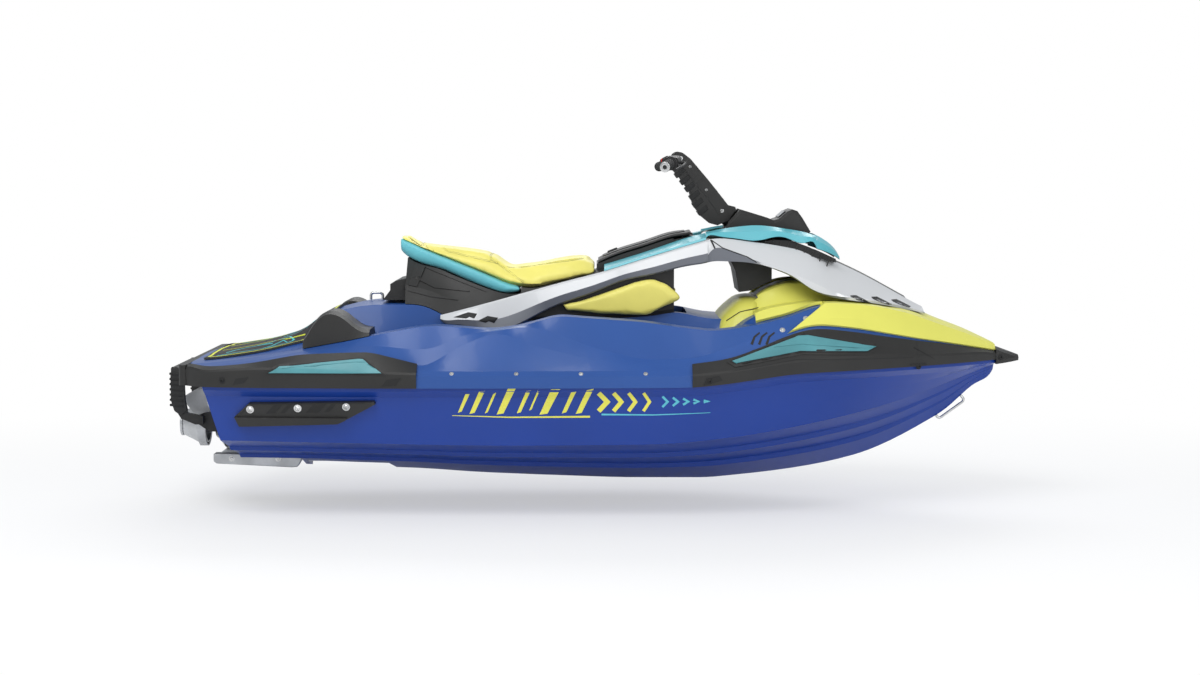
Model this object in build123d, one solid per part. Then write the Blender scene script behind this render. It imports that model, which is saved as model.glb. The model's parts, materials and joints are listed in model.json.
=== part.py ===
# Two-seat personal watercraft: hull, deck, arched console, saddle, steering and jet pump, each as its own piece.
# Millimetres. X forward, Y to port, Z up. X = 0 is mid-length, Z = 0 is the waterline.
# Heights below are given above the keel's lowest point and come down by DRAFT when a piece is written.
from build123d import *
import math
import os

from scipy.interpolate import PchipInterpolator

# Overall sizes
DRAFT = 250.0
HALF_BEAM = 565.0
STERN_X = -1440.0
BOW_X = 1474.0
DECK_PITCH = 60.0
JOINT_GAP = 0.5
SKIN_GAP = 0.9
WELL_Z = 403.0
FLANGE_H = 41.0
RIDGE_RISE = 17.0
RIDGE_IN = 20.0
HULL_INSET = 10.0

# Jet pump and stern gear
PUMP_Z = 205.0
PUMP_OUTER_R = 90.0
PUMP_BORE_R = 74.0
TUNNEL_HALF_W = 128.0
TUNNEL_TOP_Z = 330.0
TUNNEL_FRONT_X = -1080.0
PUMP_REAR_X = -1410.0
NOZZLE_EXIT_X = -1541.0
SHAFT_R = 13.0
RUN_GAP = 0.3
IMPELLER_R = 72.0
STEP_PIVOT = (-1440.0, 238.0)
STEP_ARM_Y = 190.0

# Steering
STEER_PIVOT = (466.0, 969.0)
STEER_LEAN = 40.0

os.makedirs("parts", exist_ok=True)
WRITTEN = []


def save(shape, name):
    solids = shape.solids()
    out = Compound(children=list(solids)) if len(solids) > 1 else solids[0]
    export_step(Pos(0, 0, -DRAFT) * out, f"parts/{name}.step")
    WRITTEN.append(name)


def curve(points):
    xs = [p[0] for p in points]
    line = PchipInterpolator(xs, [p[1] for p in points])
    return lambda x: float(line(min(max(x, xs[0]), xs[-1])))


def on_grid(x0, x1, outline, first, last, pitch):
    """A loft on the stations of a larger one, so that both surfaces run alike, trimmed to x0 and x1."""
    grid = evenly(first, last, pitch)
    near = [x for x in grid if x0 - 2.6 * pitch < x < x1 + 2.6 * pitch]
    shape = loft_along(near, outline)
    if near[0] < x0:
        shape = shape - block(near[0] - 10, x0, -700, 700, -200, 1400)
    if near[-1] > x1:
        shape = shape - block(x1, near[-1] + 10, -700, 700, -200, 1400)
    return shape


def evenly(start, end, pitch):
    """Stations from start to end, about one pitch apart."""
    steps = max(1, round((end - start) / pitch))
    return [start + (end - start) * i / steps for i in range(steps + 1)]


def mirror_y(shape):
    return mirror(shape, Plane.XZ)


def ring(x, points):
    return Wire.make_polygon([Vector(x, y, z) for y, z in points], close=True)


def loft_along(stations, outline, ruled=False):
    return Solid.make_loft([ring(x, outline(x)) for x in stations], ruled)


def both_sides(half):
    """A full closed outline from a half one that runs from the centre's foot to the centre's top."""
    inner = [p for p in half if p[0] > 0.01]
    other = [(-y, z) for y, z in reversed(inner)]
    return half + other


def offset_line(points, distance):
    """The open line moved to its left by distance, with mitred corners."""
    moved = []
    for i, (y, z) in enumerate(points):
        ahead = points[min(i + 1, len(points) - 1)]
        behind = points[max(i - 1, 0)]
        legs = [q for q in ((ahead[0] - y, ahead[1] - z), (y - behind[0], z - behind[1]))
                if math.hypot(*q) > 1e-6]
        normals = [(-b / math.hypot(a, b), a / math.hypot(a, b)) for a, b in legs]
        ny, nz = sum(n[0] for n in normals), sum(n[1] for n in normals)
        size = math.hypot(ny, nz)
        ny, nz = ny / size, nz / size
        mitre = max(0.55, ny * normals[0][0] + nz * normals[0][1])
        moved.append((y + ny * distance / mitre, z + nz * distance / mitre))
    return moved


def line_part(line, start, end):
    """The stretch of a line between two places along it, counted in points: 4.25 is a quarter past point 4."""
    def at(place):
        i = min(int(place), len(line) - 2)
        share = place - i
        return (line[i][0] + (line[i + 1][0] - line[i][0]) * share, line[i][1] + (line[i + 1][1] - line[i][1]) * share)
    inside = [line[i] for i in range(math.floor(start) + 1, math.ceil(end))]
    return [at(start)] + inside + [at(end)]


def block(x0, x1, y0, y1, z0, z1):
    return Pos((x0 + x1) / 2, (y0 + y1) / 2, (z0 + z1) / 2) * Box(x1 - x0, y1 - y0, z1 - z0)


def side_profile(points, y0, y1):
    """A side outline in X and Z, drawn out from y0 to y1."""
    face = Face(Wire.make_polygon([Vector(x, y0, z) for x, z in points], close=True))
    return Solid.extrude(face, Vector(0, y1 - y0, 0))


def bar_between(a, b, radius):
    a, b = Vector(*a), Vector(*b)
    return Solid.make_cylinder(radius, (b - a).length, Plane(a, z_dir=b - a))


# Hull lines: height or half-breadth along the length
KEEL_Z = curve([(-1450, 52), (-1089, 50), (-884, 43), (-657, 35), (-433, 20), (-134, 8), (150, 0), (388, 0),
                (537, 12), (690, 30), (843, 56), (995, 96), (1108, 145), (1214, 203), (1293, 252),
                (1369, 319), (1423, 362), (1477, 408)])
BEAM_SHARE = curve([(-1450, 0.762), (-1400, 0.848), (-1300, 0.910), (-1100, 0.949), (-800, 0.979), (-400, 0.996),
                    (0, 1.0), (300, 0.988), (500, 0.947), (700, 0.871), (900, 0.758), (1100, 0.593),
                    (1250, 0.435), (1380, 0.265), (1477, 0.110)])


def BEAM_Y(x):
    return HALF_BEAM * BEAM_SHARE(x)


BOND_Z = curve([(-1450, 390), (300, 393), (412, 400), (560, 418), (700, 434), (800, 438), (1477, 447)])
CHINE_Y = curve([(-1450, 415), (-900, 462), (-400, 476), (150, 474), (450, 442), (700, 372), (900, 290),
                 (1100, 182), (1250, 98), (1380, 40), (1477, 12)])
CHINE_Z = curve([(-1450, 192), (-900, 186), (-300, 178), (200, 182), (500, 205), (800, 248), (1050, 296),
                 (1250, 350), (1380, 392), (1477, 424)])
STRAKE_LIP = 9.0


def hull_half(x):
    keel, chine_y, chine_z = KEEL_Z(x), CHINE_Y(x), CHINE_Z(x)
    beam, bond = BEAM_Y(x) - HULL_INSET, BOND_Z(x)
    lip = STRAKE_LIP * min(1.0, chine_y / 200.0)

    def bottom(share):
        return keel + (chine_z - keel) * share - 0.25 * lip

    points = [(0, keel)]
    for start, end in ((0.36, 0.43), (0.68, 0.75)):
        points += [(chine_y * start, bottom(start)), (chine_y * end, bottom(start) + 1),
                   (chine_y * (end + 0.012), bottom(end) + lip * 0.6)]
    points += [(chine_y, chine_z), (chine_y + 0.22 * (beam - chine_y), chine_z + 5)]
    points += [(chine_y + 0.48 * (beam - chine_y), chine_z + 0.42 * (bond - chine_z)),
               (chine_y + 0.72 * (beam - chine_y), bond - 34 * min(1, beam / 200)),
               (beam, bond - 12), (beam, bond - JOINT_GAP)]
    return points + [(0, bond - JOINT_GAP)]


def rake_cut(top, bottom, reach=700):
    """Everything behind a raked stern plane through two side-view points."""
    slope = (top[0] - bottom[0]) / (top[1] - bottom[1])
    high, low = 1200, -200
    return side_profile([(top[0] + slope * (high - top[1]), high), (bottom[0] + slope * (low - bottom[1]), low),
                         (-1900, low), (-1900, high)], -reach, reach)


TRANSOM_TOP = (-1374.0, 380.0)
TRANSOM_BOTTOM = (-1308.0, 150.0)
ENGINE_BAY = (-420.0, 330.0, 165.0, 95.0)
INTAKE_HALF_W = 92.0


def pump_tunnel():
    bay = block(-1500, TUNNEL_FRONT_X, -TUNNEL_HALF_W, TUNNEL_HALF_W, -50, TUNNEL_TOP_Z)
    roof = [e for e in bay.edges().filter_by(Axis.X) if e.center().Z > TUNNEL_TOP_Z - 1]
    return fillet(roof, 60)


def intake_duct():
    outline = [(TUNNEL_FRONT_X - 10, PUMP_Z + 78), (-980, PUMP_Z + 60), (-800, 120), (-690, -40), (-1020, -40),
               (TUNNEL_FRONT_X - 10, PUMP_Z - 70)]
    return side_profile(outline, -INTAKE_HALF_W, INTAKE_HALF_W)


def engine_bay():
    x0, x1, half, floor = ENGINE_BAY
    return block(x0, x1, -half, half, floor, 1000)


def make_hull():
    hull = loft_along(evenly(STERN_X, BOW_X, DECK_PITCH), lambda x: both_sides(hull_half(x)))
    hull -= rake_cut(TRANSOM_TOP, TRANSOM_BOTTOM)
    hull -= pump_tunnel()
    hull -= intake_duct()
    hull -= engine_bay()
    return hull - on_pump_axis(TUNNEL_FRONT_X - 20, 700, SHAFT_R + 3)


# Deck lines, from the rub band in to the centre
RUB_A_Z = curve([(-1450, 442), (-1200, 470), (-1000, 505), (-800, 512), (-700, 490), (-600, 466), (-500, 518),
                 (-400, 562), (-346, 576), (-200, 532), (15, 486), (265, 462), (335, 468), (461, 486),
                 (592, 532), (688, 572), (780, 590), (889, 578), (1030, 552), (1150, 530), (1300, 505), (1471, 474)])
RUB_A_IN = curve([(-1450, 30), (-800, 40), (-400, 62), (15, 45), (335, 34), (688, 48), (900, 46), (1250, 40),
                  (1471, 20)])
RUB_B_Z = curve([(-1450, 452), (-1200, 480), (-1000, 516), (-800, 532), (-600, 520), (-450, 572), (-346, 586),
                 (-240, 598), (15, 522), (200, 486), (335, 492), (461, 524), (592, 566), (688, 596), (800, 618),
                 (950, 610), (1100, 580), (1250, 545), (1380, 512), (1471, 482)])
GUNWALE_Z = curve([(-1450, 458), (-1200, 488), (-1000, 522), (-860, 548), (-745, 572), (-560, 600),
                   (-364, 588), (-240, 606), (-130, 634), (15, 626), (154, 616), (332, 592), (421, 584),
                   (510, 594), (586, 606), (690, 632), (809, 664), (950, 655), (1100, 626), (1250, 575),
                   (1380, 528), (1471, 488)])
FLOOR_Z = curve([(-1450, 462), (-1200, 495), (-1050, 530), (-900, 560), (-760, 548), (-680, 450), (-600, WELL_Z + 3),
                 (0, WELL_Z), (250, WELL_Z + 3), (370, 440), (480, 565), (560, 625), (690, 655), (809, 664), (950, 652),
                 (1100, 634), (1250, 581), (1380, 533), (1471, 491.5)])
SHOULDER_Z = curve([(-1450, 464), (-1300, 484), (-1091, 540), (-1024, 585), (-968, 620), (-905, 642),
                    (-790, 658), (-640, 658), (-580, 632), (-520, 608), (-460, 598), (0, 606), (200, 618), (290, 630),
                    (360, 618), (449, 604), (520, 608), (600, 690), (700, 728), (809, 730), (900, 708),
                    (1030, 668), (1120, 636), (1250, 586), (1380, 534), (1471, 492)])
CENTRE_Z = curve([(-1450, 466), (-1300, 488), (-1091, 546), (-1024, 592), (-968, 628), (-905, 648),
                  (-790, 664), (-640, 664), (-580, 637), (-520, 612), (-460, 602), (0, 610), (200, 622), (290, 634),
                  (360, 621), (449, 606), (520, 610), (600, 694), (700, 740), (809, 748), (900, 728),
                  (1030, 690), (1120, 652), (1224, 602), (1380, 540), (1471, 494)])
GUNWALE_IN = curve([(-1450, 90), (-800, 110), (-300, 100), (332, 86), (600, 92), (900, 96), (1100, 90),
                    (1250, 78), (1380, 60), (1471, 34)])


def deck_half(x):
    """Outline points from the flange's foot, round the band, gunwale and footwell, to the centre."""
    beam, bond = BEAM_Y(x), BOND_Z(x)
    gunwale = beam - GUNWALE_IN(x)
    narrow = min(1.0, gunwale / 470.0)
    well_out, well_in, shoulder = gunwale - 95 * narrow, 245 * narrow, 205 * narrow
    return [(0, bond), (beam, bond), (beam, bond + FLANGE_H * min(1, beam / 250)),
            (beam - RIDGE_IN * min(1, beam / 250), bond + (FLANGE_H + RIDGE_RISE) * min(1, beam / 250)),
            (beam - RUB_A_IN(x), max(RUB_A_Z(x), bond + 66 * min(1, beam / 250))),
            (beam - 0.5 * (RUB_A_IN(x) + GUNWALE_IN(x)), max(RUB_B_Z(x), RUB_A_Z(x) + 4)),
            (gunwale, max(GUNWALE_Z(x), RUB_B_Z(x) + 4)), (gunwale - 55 * narrow, GUNWALE_Z(x) + 3),
            (well_out, FLOOR_Z(x)), (well_in, FLOOR_Z(x)), (shoulder, SHOULDER_Z(x)), (0, CENTRE_Z(x))]


def make_deck():
    deck = loft_along(evenly(STERN_X, BOW_X, DECK_PITCH), lambda x: both_sides(deck_half(x)))
    return deck - engine_bay()


def engine_block():
    x0, x1, half, floor = ENGINE_BAY
    body = block(x0 + 60, x1 - 60, -half + 25, half - 25, floor, floor + 330)
    return chamfer(body.edges().filter_by(Axis.Y), 20)


def on_deck(x0, x1, outline):
    return on_grid(x0, x1, outline, STERN_X, BOW_X, DECK_PITCH)


def skin_outline(x, first, last, thick, gap=SKIN_GAP):
    """A shell's outline on one side, following the deck from one place on its outline to another."""
    line = line_part(deck_half(x), first, last)
    return offset_line(line, -gap) + offset_line(line, -gap - thick)[::-1]


def side_skin(x0, x1, first, last, thick, gap=SKIN_GAP):
    return on_deck(x0, x1, lambda x: skin_outline(x, first, last, thick, gap))


def cross_skin(x0, x1, first, thick, gap=SKIN_GAP):
    """A shell right across the deck, from one place on each side to the centre."""
    def outline(x):
        line = line_part(deck_half(x), first, 11)
        inner, outer = offset_line(line, -gap), offset_line(line, -gap - thick)
        other_inner = [(-y, z) for y, z in inner[:-1]]
        other_outer = [(-y, z) for y, z in outer[:-1]]
        return inner + other_inner[::-1] + other_outer + outer[-1:] + outer[:-1][::-1]
    return on_deck(x0, x1, outline)


# Bow deck and inner panels
BOW_SKIN_T = 10.0
BOW_REAR_EDGE = [(640, 549), (686, 583), (809, 674)]


def bow_deck():
    skin = cross_skin(660, BOW_X, 4.25, BOW_SKIN_T)
    edge = BOW_REAR_EDGE
    rest = [(600, 300), edge[0], edge[1], edge[2], (edge[2][0], 1200), (0, 1200), (0, 300)]
    return skin - side_profile(rest, -600, 600)


def bow_panel():
    return side_skin(565, 805, 7, 9.98, BOW_SKIN_T, 1.6) - bow_deck()


# Bumpers
BUMPER_T = 9.0
BUMPER_GAP = 1.4
BUMPER_CREASE_Z = curve([(-1440, 450), (-1100, 462), (-621, 446), (300, 440), (458, 452), (692, 483), (988, 496),
                         (1179, 487), (1474, 482)])


def bumper_outline(x):
    beam, bond = BEAM_Y(x), BOND_Z(x)
    line = line_part(deck_half(x), 1, 3.9)
    gap = BUMPER_GAP + 0.012 * max(0, x - 1300) + 0.04 * max(0, -1380 - x)
    inner = offset_line(line, -gap)
    crease, top = bumper_crease(x), bumper_top(x)
    outer = [top, crease, (beam + BUMPER_T, crease[1] - 8), (beam + BUMPER_T - 4, bond)]
    return [(beam + gap, bond)] + inner[1:] + outer


def bumper_top(x):
    y, z = line_part(deck_half(x), 1, 3.9)[-1]
    return (y + 3, z + 7)


def bumper_crease(x):
    return (BEAM_Y(x) + BUMPER_T - 3, min(BUMPER_CREASE_Z(x), deck_half(x)[4][1] - 4))


def bumper_insert(x0, x1, low, high):
    """A bright panel let on to the bumper's upper face, between two shares of its height."""
    def outline(x):
        foot, top = bumper_crease(x), bumper_top(x)
        ends = math.sin(math.pi * min(1, max(0, (x - x0) / (x1 - x0))) ** 0.8)
        spread = max(0.06, min(1, 2.2 * ends))
        middle = 0.5 * (low + high)
        shares = [middle + (side - middle) * spread for side in (low, high)]
        line = [(foot[0] + (top[0] - foot[0]) * s, foot[1] + (top[1] - foot[1]) * s) for s in shares]
        return offset_line(line, -0.6) + offset_line(line, -3.6)[::-1]
    return on_deck(x0, x1, outline)


def bow_insert():
    return bumper_insert(480, 990, 0.24, 0.84)


def stern_insert():
    return bumper_insert(-1130, -745, 0.12, 0.80)


def stern_bumper():
    side = on_deck(STERN_X, -621, bumper_outline)
    y = BEAM_Y(STERN_X) + BUMPER_T
    x = STERN_X
    band = block(x - 26, x - 0.01, -y, y, BOND_Z(STERN_X), 462)
    corners = band.edges().filter_by(Axis.Z).sort_by(Axis.X)[:2]
    band = fillet(corners, 22)
    corner = block(x - 1.5, x + 1.5, y - 4, y - 1, BOND_Z(STERN_X) + 2, 436)
    side = side + corner
    return side + mirror_y(side) + band


def bow_bumper():
    return on_deck(335, 1150, bumper_outline)


def nose_bumper():
    side = on_deck(1150 + JOINT_GAP, BOW_X, bumper_outline)
    y = BEAM_Y(BOW_X) + BUMPER_T
    start = BOW_X

    def tip(x):
        share = (x - start) / (1566 - start)
        w, low, high = y * (1 - 0.72 * share ** 1.5), 430 + 10 * share, 492 - 34 * share
        return both_sides([(0, low), (w - 6, low), (w, low + 14), (w - 4, high - 8), (w * 0.5, high), (0, high + 3)])
    return side + mirror_y(side) + loft_along(evenly(start, 1566, 30), tip)


# Mats and foot chocks
MAT_T = 7.0


def rear_mat():
    return cross_skin(-1400, -1040, 8, MAT_T, 1.5) + cross_skin(-1040, -940, 9, MAT_T, 1.5)


def well_mat():
    return side_skin(-630, 240, 8, 9, MAT_T)


CHOCK_TOP_Z = curve([(-1030, 552), (-1007, 580), (-949, 646), (-911, 646), (-883, 624), (-822, 590), (-790, 580)])


def foot_chock():
    def outline(x):
        line = offset_line(line_part(deck_half(x), 6, 8.93), -2.5)
        top = max([CHOCK_TOP_Z(x)] + [z + 16 for y, z in line])
        out_y, in_y = line[0][0], line[-1][0]
        return line + [(in_y + 6, top - 6), (in_y + 30, top), (out_y - 40, top), (out_y - 6, top - 10)]
    return on_deck(-1030, -795, outline)


# Arched console: rear arms, front shells, trims and core
CORE_HALF = 208.0
CORE_TOP_HALF = 140.0
ARM_IN_Y = CORE_HALF + 8.0
ARM_OUT_Y = ARM_IN_Y + 30.0
ARM_REAR_X, ARM_SEAM_X = -560.0, 402.0
ARM_TOP_Z = curve([(-560, 622), (-354, 676), (-237, 709), (-107, 745), (22, 778), (195, 832), (402, 894)])
ARM_LOW_Z = curve([(-560, 603), (-425, 568), (-379, 560), (-139, 658), (9, 710), (87, 743), (212, 770),
                   (288, 790), (402, 812)])


def arm_outline(x):
    top, low = ARM_TOP_Z(x), ARM_LOW_Z(x)
    crease = low + 0.42 * (top - low)
    return [(ARM_IN_Y, low + 4), (ARM_OUT_Y - 14, low), (ARM_OUT_Y - 5, low + 5), (ARM_OUT_Y, crease),
            (ARM_OUT_Y - 16, top - 7), (ARM_OUT_Y - 24, top), (ARM_IN_Y, top - 2)]


def rear_arm():
    return loft_along(evenly(ARM_REAR_X, ARM_SEAM_X, 60), arm_outline)


SHELL_TOP_Z = curve([(402, 893), (430, 899), (580, 883), (778, 845), (890, 803), (1029, 735), (1122, 683),
                     (1250, 618)])
SHELL_CREASE_Z = curve([(402, 840), (453, 862), (536, 833), (734, 763), (842, 714), (914, 690), (1029, 672),
                        (1122, 652), (1250, 612)])
SHELL_LOW_Z = curve([(402, 812), (482, 817), (590, 806), (698, 768), (788, 712), (828, 700), (903, 690),
                     (992, 676), (1134, 646), (1250, 606)])
SHELL_TOP_Y = curve([(402, ARM_IN_Y + 6), (600, ARM_IN_Y - 20), (778, 172), (890, 120), (1029, 74), (1122, 58), (1250, 40)])
SHELL_CREASE_Y = curve([(402, ARM_OUT_Y), (600, ARM_OUT_Y + 16), (800, 282), (914, 262), (1029, 200), (1122, 150), (1250, 74)])
SHELL_LOW_Y = curve([(402, ARM_OUT_Y - 12), (600, ARM_OUT_Y + 16), (788, 292), (900, 300), (992, 250), (1134, 172), (1250, 88)])
SHELL_T = 9.0


SHELL_END_X = 1200.0


def shell_lines(x):
    """The front shell's outer and inner lines, both from its lower edge to its top edge."""
    outer = [(SHELL_LOW_Y(x), SHELL_LOW_Z(x)), (SHELL_CREASE_Y(x), SHELL_CREASE_Z(x)),
             (SHELL_TOP_Y(x), SHELL_TOP_Z(x))]
    return outer, offset_line(outer, min(SHELL_T, 0.25 * (outer[2][1] - outer[0][1])))


def front_shell():
    def outline(x):
        outer, inner = shell_lines(x)
        return outer + inner[::-1]
    return loft_along(evenly(ARM_SEAM_X + JOINT_GAP, SHELL_END_X, 60), outline)


def hood_strip():
    """The dark centre strip between the two front shells."""
    def outline(x):
        outer, inner = shell_lines(x)
        (y0, z0), (y1, z1) = outer[-1], inner[-1]
        return both_sides([(0, z1), (y1 - 0.4, z1 + 0.3), (y0 - 0.4, z0 + 0.3), (0, z0 + 6)])
    return on_grid(700, 1140, outline, ARM_SEAM_X + JOINT_GAP, SHELL_END_X, 60)


CORE_X = (-271.0, 282.0)
WINDOW_TOP_Z = 815.0
LID_TOP_Z = curve([(4, 815), (70, 845), (181, 880), (266, 908), (350, 922)])
LID_T = 12.0
LID_HINGE = (348.0, 911.5)
CUSHION_LOW_Z = curve([(-723, 897), (-625, 854), (-521, 814), (-418, 774), (-331, 738), (-285, 724), (-232, 720),
                       (-170, 732), (20, 780)])
CUSHION_TOP_Z = curve([(-723, 908), (-664, 886), (-629, 872), (-565, 864), (-392, 838), (-339, 808), (-314, 792),
                       (-244, 797), (-54, 826), (-11, 818), (20, 796)])
CUSHION_Y = curve([(-723, 52), (-640, 92), (-520, 128), (-380, 158), (-250, 176), (-100, 170), (20, 140)])
BAND_LOW_Z = curve([(-732, 866), (-710, 838), (-539, 773), (-435, 731), (-335, 701), (-300, 698), (-268, 704)])
GLOVEBOX = (45.0, 322.0, 105.0, 790.0)
ACCESS_HATCH = (-236.0, -20.0, 105.0)


BRIDGE_TOP = [(346, 904), (402, 888), (600, 866), (690, 846)]


def bridge_top_z(x):
    """The height of the bridge's straight-sided top."""
    for (x0, z0), (x1, z1) in zip(BRIDGE_TOP, BRIDGE_TOP[1:]):
        if x <= x1:
            return z0 + (z1 - z0) * (x - x0) / (x1 - x0)
    return BRIDGE_TOP[-1][1]


def saddle_shelf_z(x):
    return CUSHION_LOW_Z(x) - 3.0


def core_top_z(x):
    return LID_TOP_Z(x) - LID_T - 3.5


def console_core():
    def foot(x):
        deck = deck_half(x)
        shoulder, centre = deck[10], deck[11]
        top = core_top_z(x)
        side = min(CORE_HALF, shoulder[0])
        return both_sides([(0, centre[1] + SKIN_GAP), (side, shoulder[1] + SKIN_GAP),
                           (CORE_HALF, shoulder[1] + 14), (CORE_HALF - 2, min(top - 8, ARM_TOP_Z(x) - 12)),
                           (CORE_TOP_HALF, min(top - 1, trim_crest(x) - 16)), (CORE_TOP_HALF - 1, top), (0, top)])
    pedestal = on_deck(CORE_X[0], CORE_X[1], foot)
    shelf = [(x, saddle_shelf_z(x)) for x in evenly(CORE_X[0] - 10, 2 + JOINT_GAP, 20)]
    pedestal -= side_profile(shelf + [(shelf[-1][0], 1200), (shelf[0][0], 1200)], -300, 300)
    bridge = side_profile([(240, 812), (482, 822), (560, 818), (640, 800), (690, 790)] + BRIDGE_TOP[::-1]
                          + [(280, 890), (240, 880)], -CORE_TOP_HALF, CORE_TOP_HALF)
    strut = side_profile([(485, 825), (507, 778), (521, 700), (560, 705), (640, 742), (640, 830)],
                         -CORE_TOP_HALF, CORE_TOP_HALF)
    x0, x1, half, floor = GLOVEBOX
    tub = block(x0, x1, -half, half, floor, 1000)
    x0, x1, half = ACCESS_HATCH
    return pedestal + bridge + strut - tub - block(x0, x1, -half, half, 400, 900)


def glovebox_lid():
    def outline(x):
        z = LID_TOP_Z(x)
        return both_sides([(0, z - LID_T), (CORE_TOP_HALF - 4, z - LID_T), (CORE_TOP_HALF, z - LID_T + 4),
                           (CORE_TOP_HALF - 10, z - 2), (0, z + 2)])
    lid = loft_along(evenly(8, LID_HINGE[0] - 3, 50), outline)
    for side in (-1, 1):
        lid += bar_between((LID_HINGE[0], side * 96, LID_HINGE[1]), (LID_HINGE[0], side * 126, LID_HINGE[1]), 4.5)
    return lid


TRIM_REAR_TOP_Z = curve([(24, 800), (196, 853), (312, 893), (349, 904), (396, 916)])


def trim_crest(x):
    return max(TRIM_REAR_TOP_Z(x), ARM_TOP_Z(x) + 16)


def cowl_trim_rear():
    def outline(x):
        arm, crest = ARM_TOP_Z(x) + 1, trim_crest(x)
        y = CORE_TOP_HALF + 3
        return [(y, crest - 12), (ARM_IN_Y - 8, arm), (ARM_OUT_Y - 22, arm), (ARM_OUT_Y - 26, arm + 8),
                (y + 8, crest), (y, crest - 3)]
    return loft_along(evenly(30, 396, 50), outline)


TRIM_TOP_Z = curve([(396, 920), (521, 940), (576, 944), (702, 929), (782, 912), (850, 878), (893, 828)])
TRIM_LOW_Z = curve([(396, 896), (430, 902), (580, 886), (640, 900), (735, 882), (789, 860), (850, 838), (893, 812)])
TRIM_Y = curve([(396, ARM_IN_Y - 2), (600, ARM_IN_Y - 16), (780, ARM_IN_Y - 40), (850, ARM_IN_Y - 76),
                (893, ARM_IN_Y - 120)])
FRONT_TRIM_X = (396.4, 800.0)
TRIM_PITCH = 50.0


def cowl_trim_front():
    def outline(x):
        low, top, y = TRIM_LOW_Z(x) + 4, TRIM_TOP_Z(x), TRIM_Y(x)
        return [(y + 6, low), (y, low + 0.6 * (top - low)), (y - 34, top), (y - 42, top - 8), (y - 8, low - 2)]
    side = loft_along(evenly(*FRONT_TRIM_X, TRIM_PITCH), outline)

    def cap(x):
        low, top, y = TRIM_LOW_Z(x) + 4, TRIM_TOP_Z(x), TRIM_Y(x)
        return both_sides([(0, top - 6), (y - 42, top - 8), (y - 8, low - 2), (y + 6, low),
                           (y, low + 0.6 * (top - low)), (y - 34, top), (0, top + 4)])
    return side + mirror_y(side) + loft_along(evenly(799, 890, 30), cap)


def steer_axis_plane(distance):
    lean = math.radians(STEER_LEAN)
    up = Vector(-math.sin(lean), 0, math.cos(lean))
    base = Vector(STEER_PIVOT[0], 0, STEER_PIVOT[1])
    return Plane(base + up * distance, z_dir=up)


def round_on_axis(distance, length, radius):
    return Solid.make_cylinder(radius, length, steer_axis_plane(distance))


COWL_HALF = 112.0
DISPLAY_SLOPE = ((669.0, 967.0), (698.0, 992.0))
SHAFT_TOP_R = 16.0
SHAFT_DEPTH = 84.0


def gauge_cowl():
    def skirt(x):
        half, top = TRIM_Y(x) - 42.4, TRIM_TOP_Z(x) - 8
        return both_sides([(0, top - 32), (half - 14, top - 32), (half, top - 6), (half, top), (0, top + 6)])
    foot, peak = DISPLAY_SLOPE
    crest = [(527, 1000), (625, 970), (650, 960), foot, peak, (717, 1000), (735, 994), (754, 968), (784, 918)]
    raised = side_profile([(470, 920), (485, 956)] + crest + [(760, 900), (560, 900)], -COWL_HALF, COWL_HALF)
    edges = raised.edges().filter_by(lambda e: abs(abs(e.center().Y) - COWL_HALF) < 0.01 and e.center().Z > 940)
    raised = chamfer(edges, 10)
    seat = [(x, bridge_top_z(x) + 0.4) for x in (480, 600, 680)]
    pad = side_profile(seat + [(680, 902), (480, 902)], -COWL_HALF + 12, COWL_HALF - 12)
    shell = raised + pad + on_grid(466, 770, skirt, FRONT_TRIM_X[0], FRONT_TRIM_X[1], TRIM_PITCH)
    return shell - round_on_axis(-30, 200, 78) - round_on_axis(-SHAFT_DEPTH - 3, 100, SHAFT_TOP_R + RUN_GAP)


def display():
    """A flat panel let on to the cowl's rear slope, facing the rider."""
    foot, peak = DISPLAY_SLOPE
    run = math.hypot(peak[0] - foot[0], peak[1] - foot[1])
    along = ((peak[0] - foot[0]) / run, (peak[1] - foot[1]) / run)

    def at(distance, rise):
        return (foot[0] + along[0] * distance - along[1] * rise, foot[1] + along[1] * distance + along[0] * rise)
    return side_profile([at(3, 0.3), at(run - 3, 0.3), at(run - 3, 5), at(3, 5)], -62, 62)


# Saddle
BASE_GAP = 2.5


def seat_base():
    def outline(x):
        deck = deck_half(x)
        low, top = deck[11][1] + BASE_GAP, BAND_LOW_Z(x) - 3.0 - 0.08 * max(0, -640 - x)
        return both_sides([(0, low), (deck[10][0], deck[10][1] + BASE_GAP), (178, low + 0.4 * (top - low)),
                           (CUSHION_Y(x) + 2, top), (0, top)])
    body = on_deck(-690, CORE_X[0] - JOINT_GAP, outline)
    tail = side_profile([(-775, 672), (-748, 708), (-748, 730), (-729, 742), (-698, 749), (-640, 760),
                         (-640, 672)], -150, 150)
    undercut = side_profile([(-760, 749), (-698, 749), (-691, 763), (-703, 785), (-716, 834), (-760, 900)],
                            -250, 250)
    return body + tail - undercut


def seat_side_band():
    def outline(x):
        y, low, top = CUSHION_Y(x) + 6, BAND_LOW_Z(x) + 0.6, CUSHION_LOW_Z(x) - SKIN_GAP
        return both_sides([(0, low), (y - 14, low), (y, low + 0.4 * (top - low)), (y - 3, top), (0, top)])
    return on_grid(-722, -272, outline, -722, 2, 45)


def seat_cushion():
    def outline(x):
        y, low, top = CUSHION_Y(x), CUSHION_LOW_Z(x), CUSHION_TOP_Z(x)
        return both_sides([(0, low), (y, low), (y - 2, low + 0.35 * (top - low)), (0.72 * y, top - 4), (0, top)])
    return loft_along(evenly(-722, 2, 45), outline)


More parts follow.
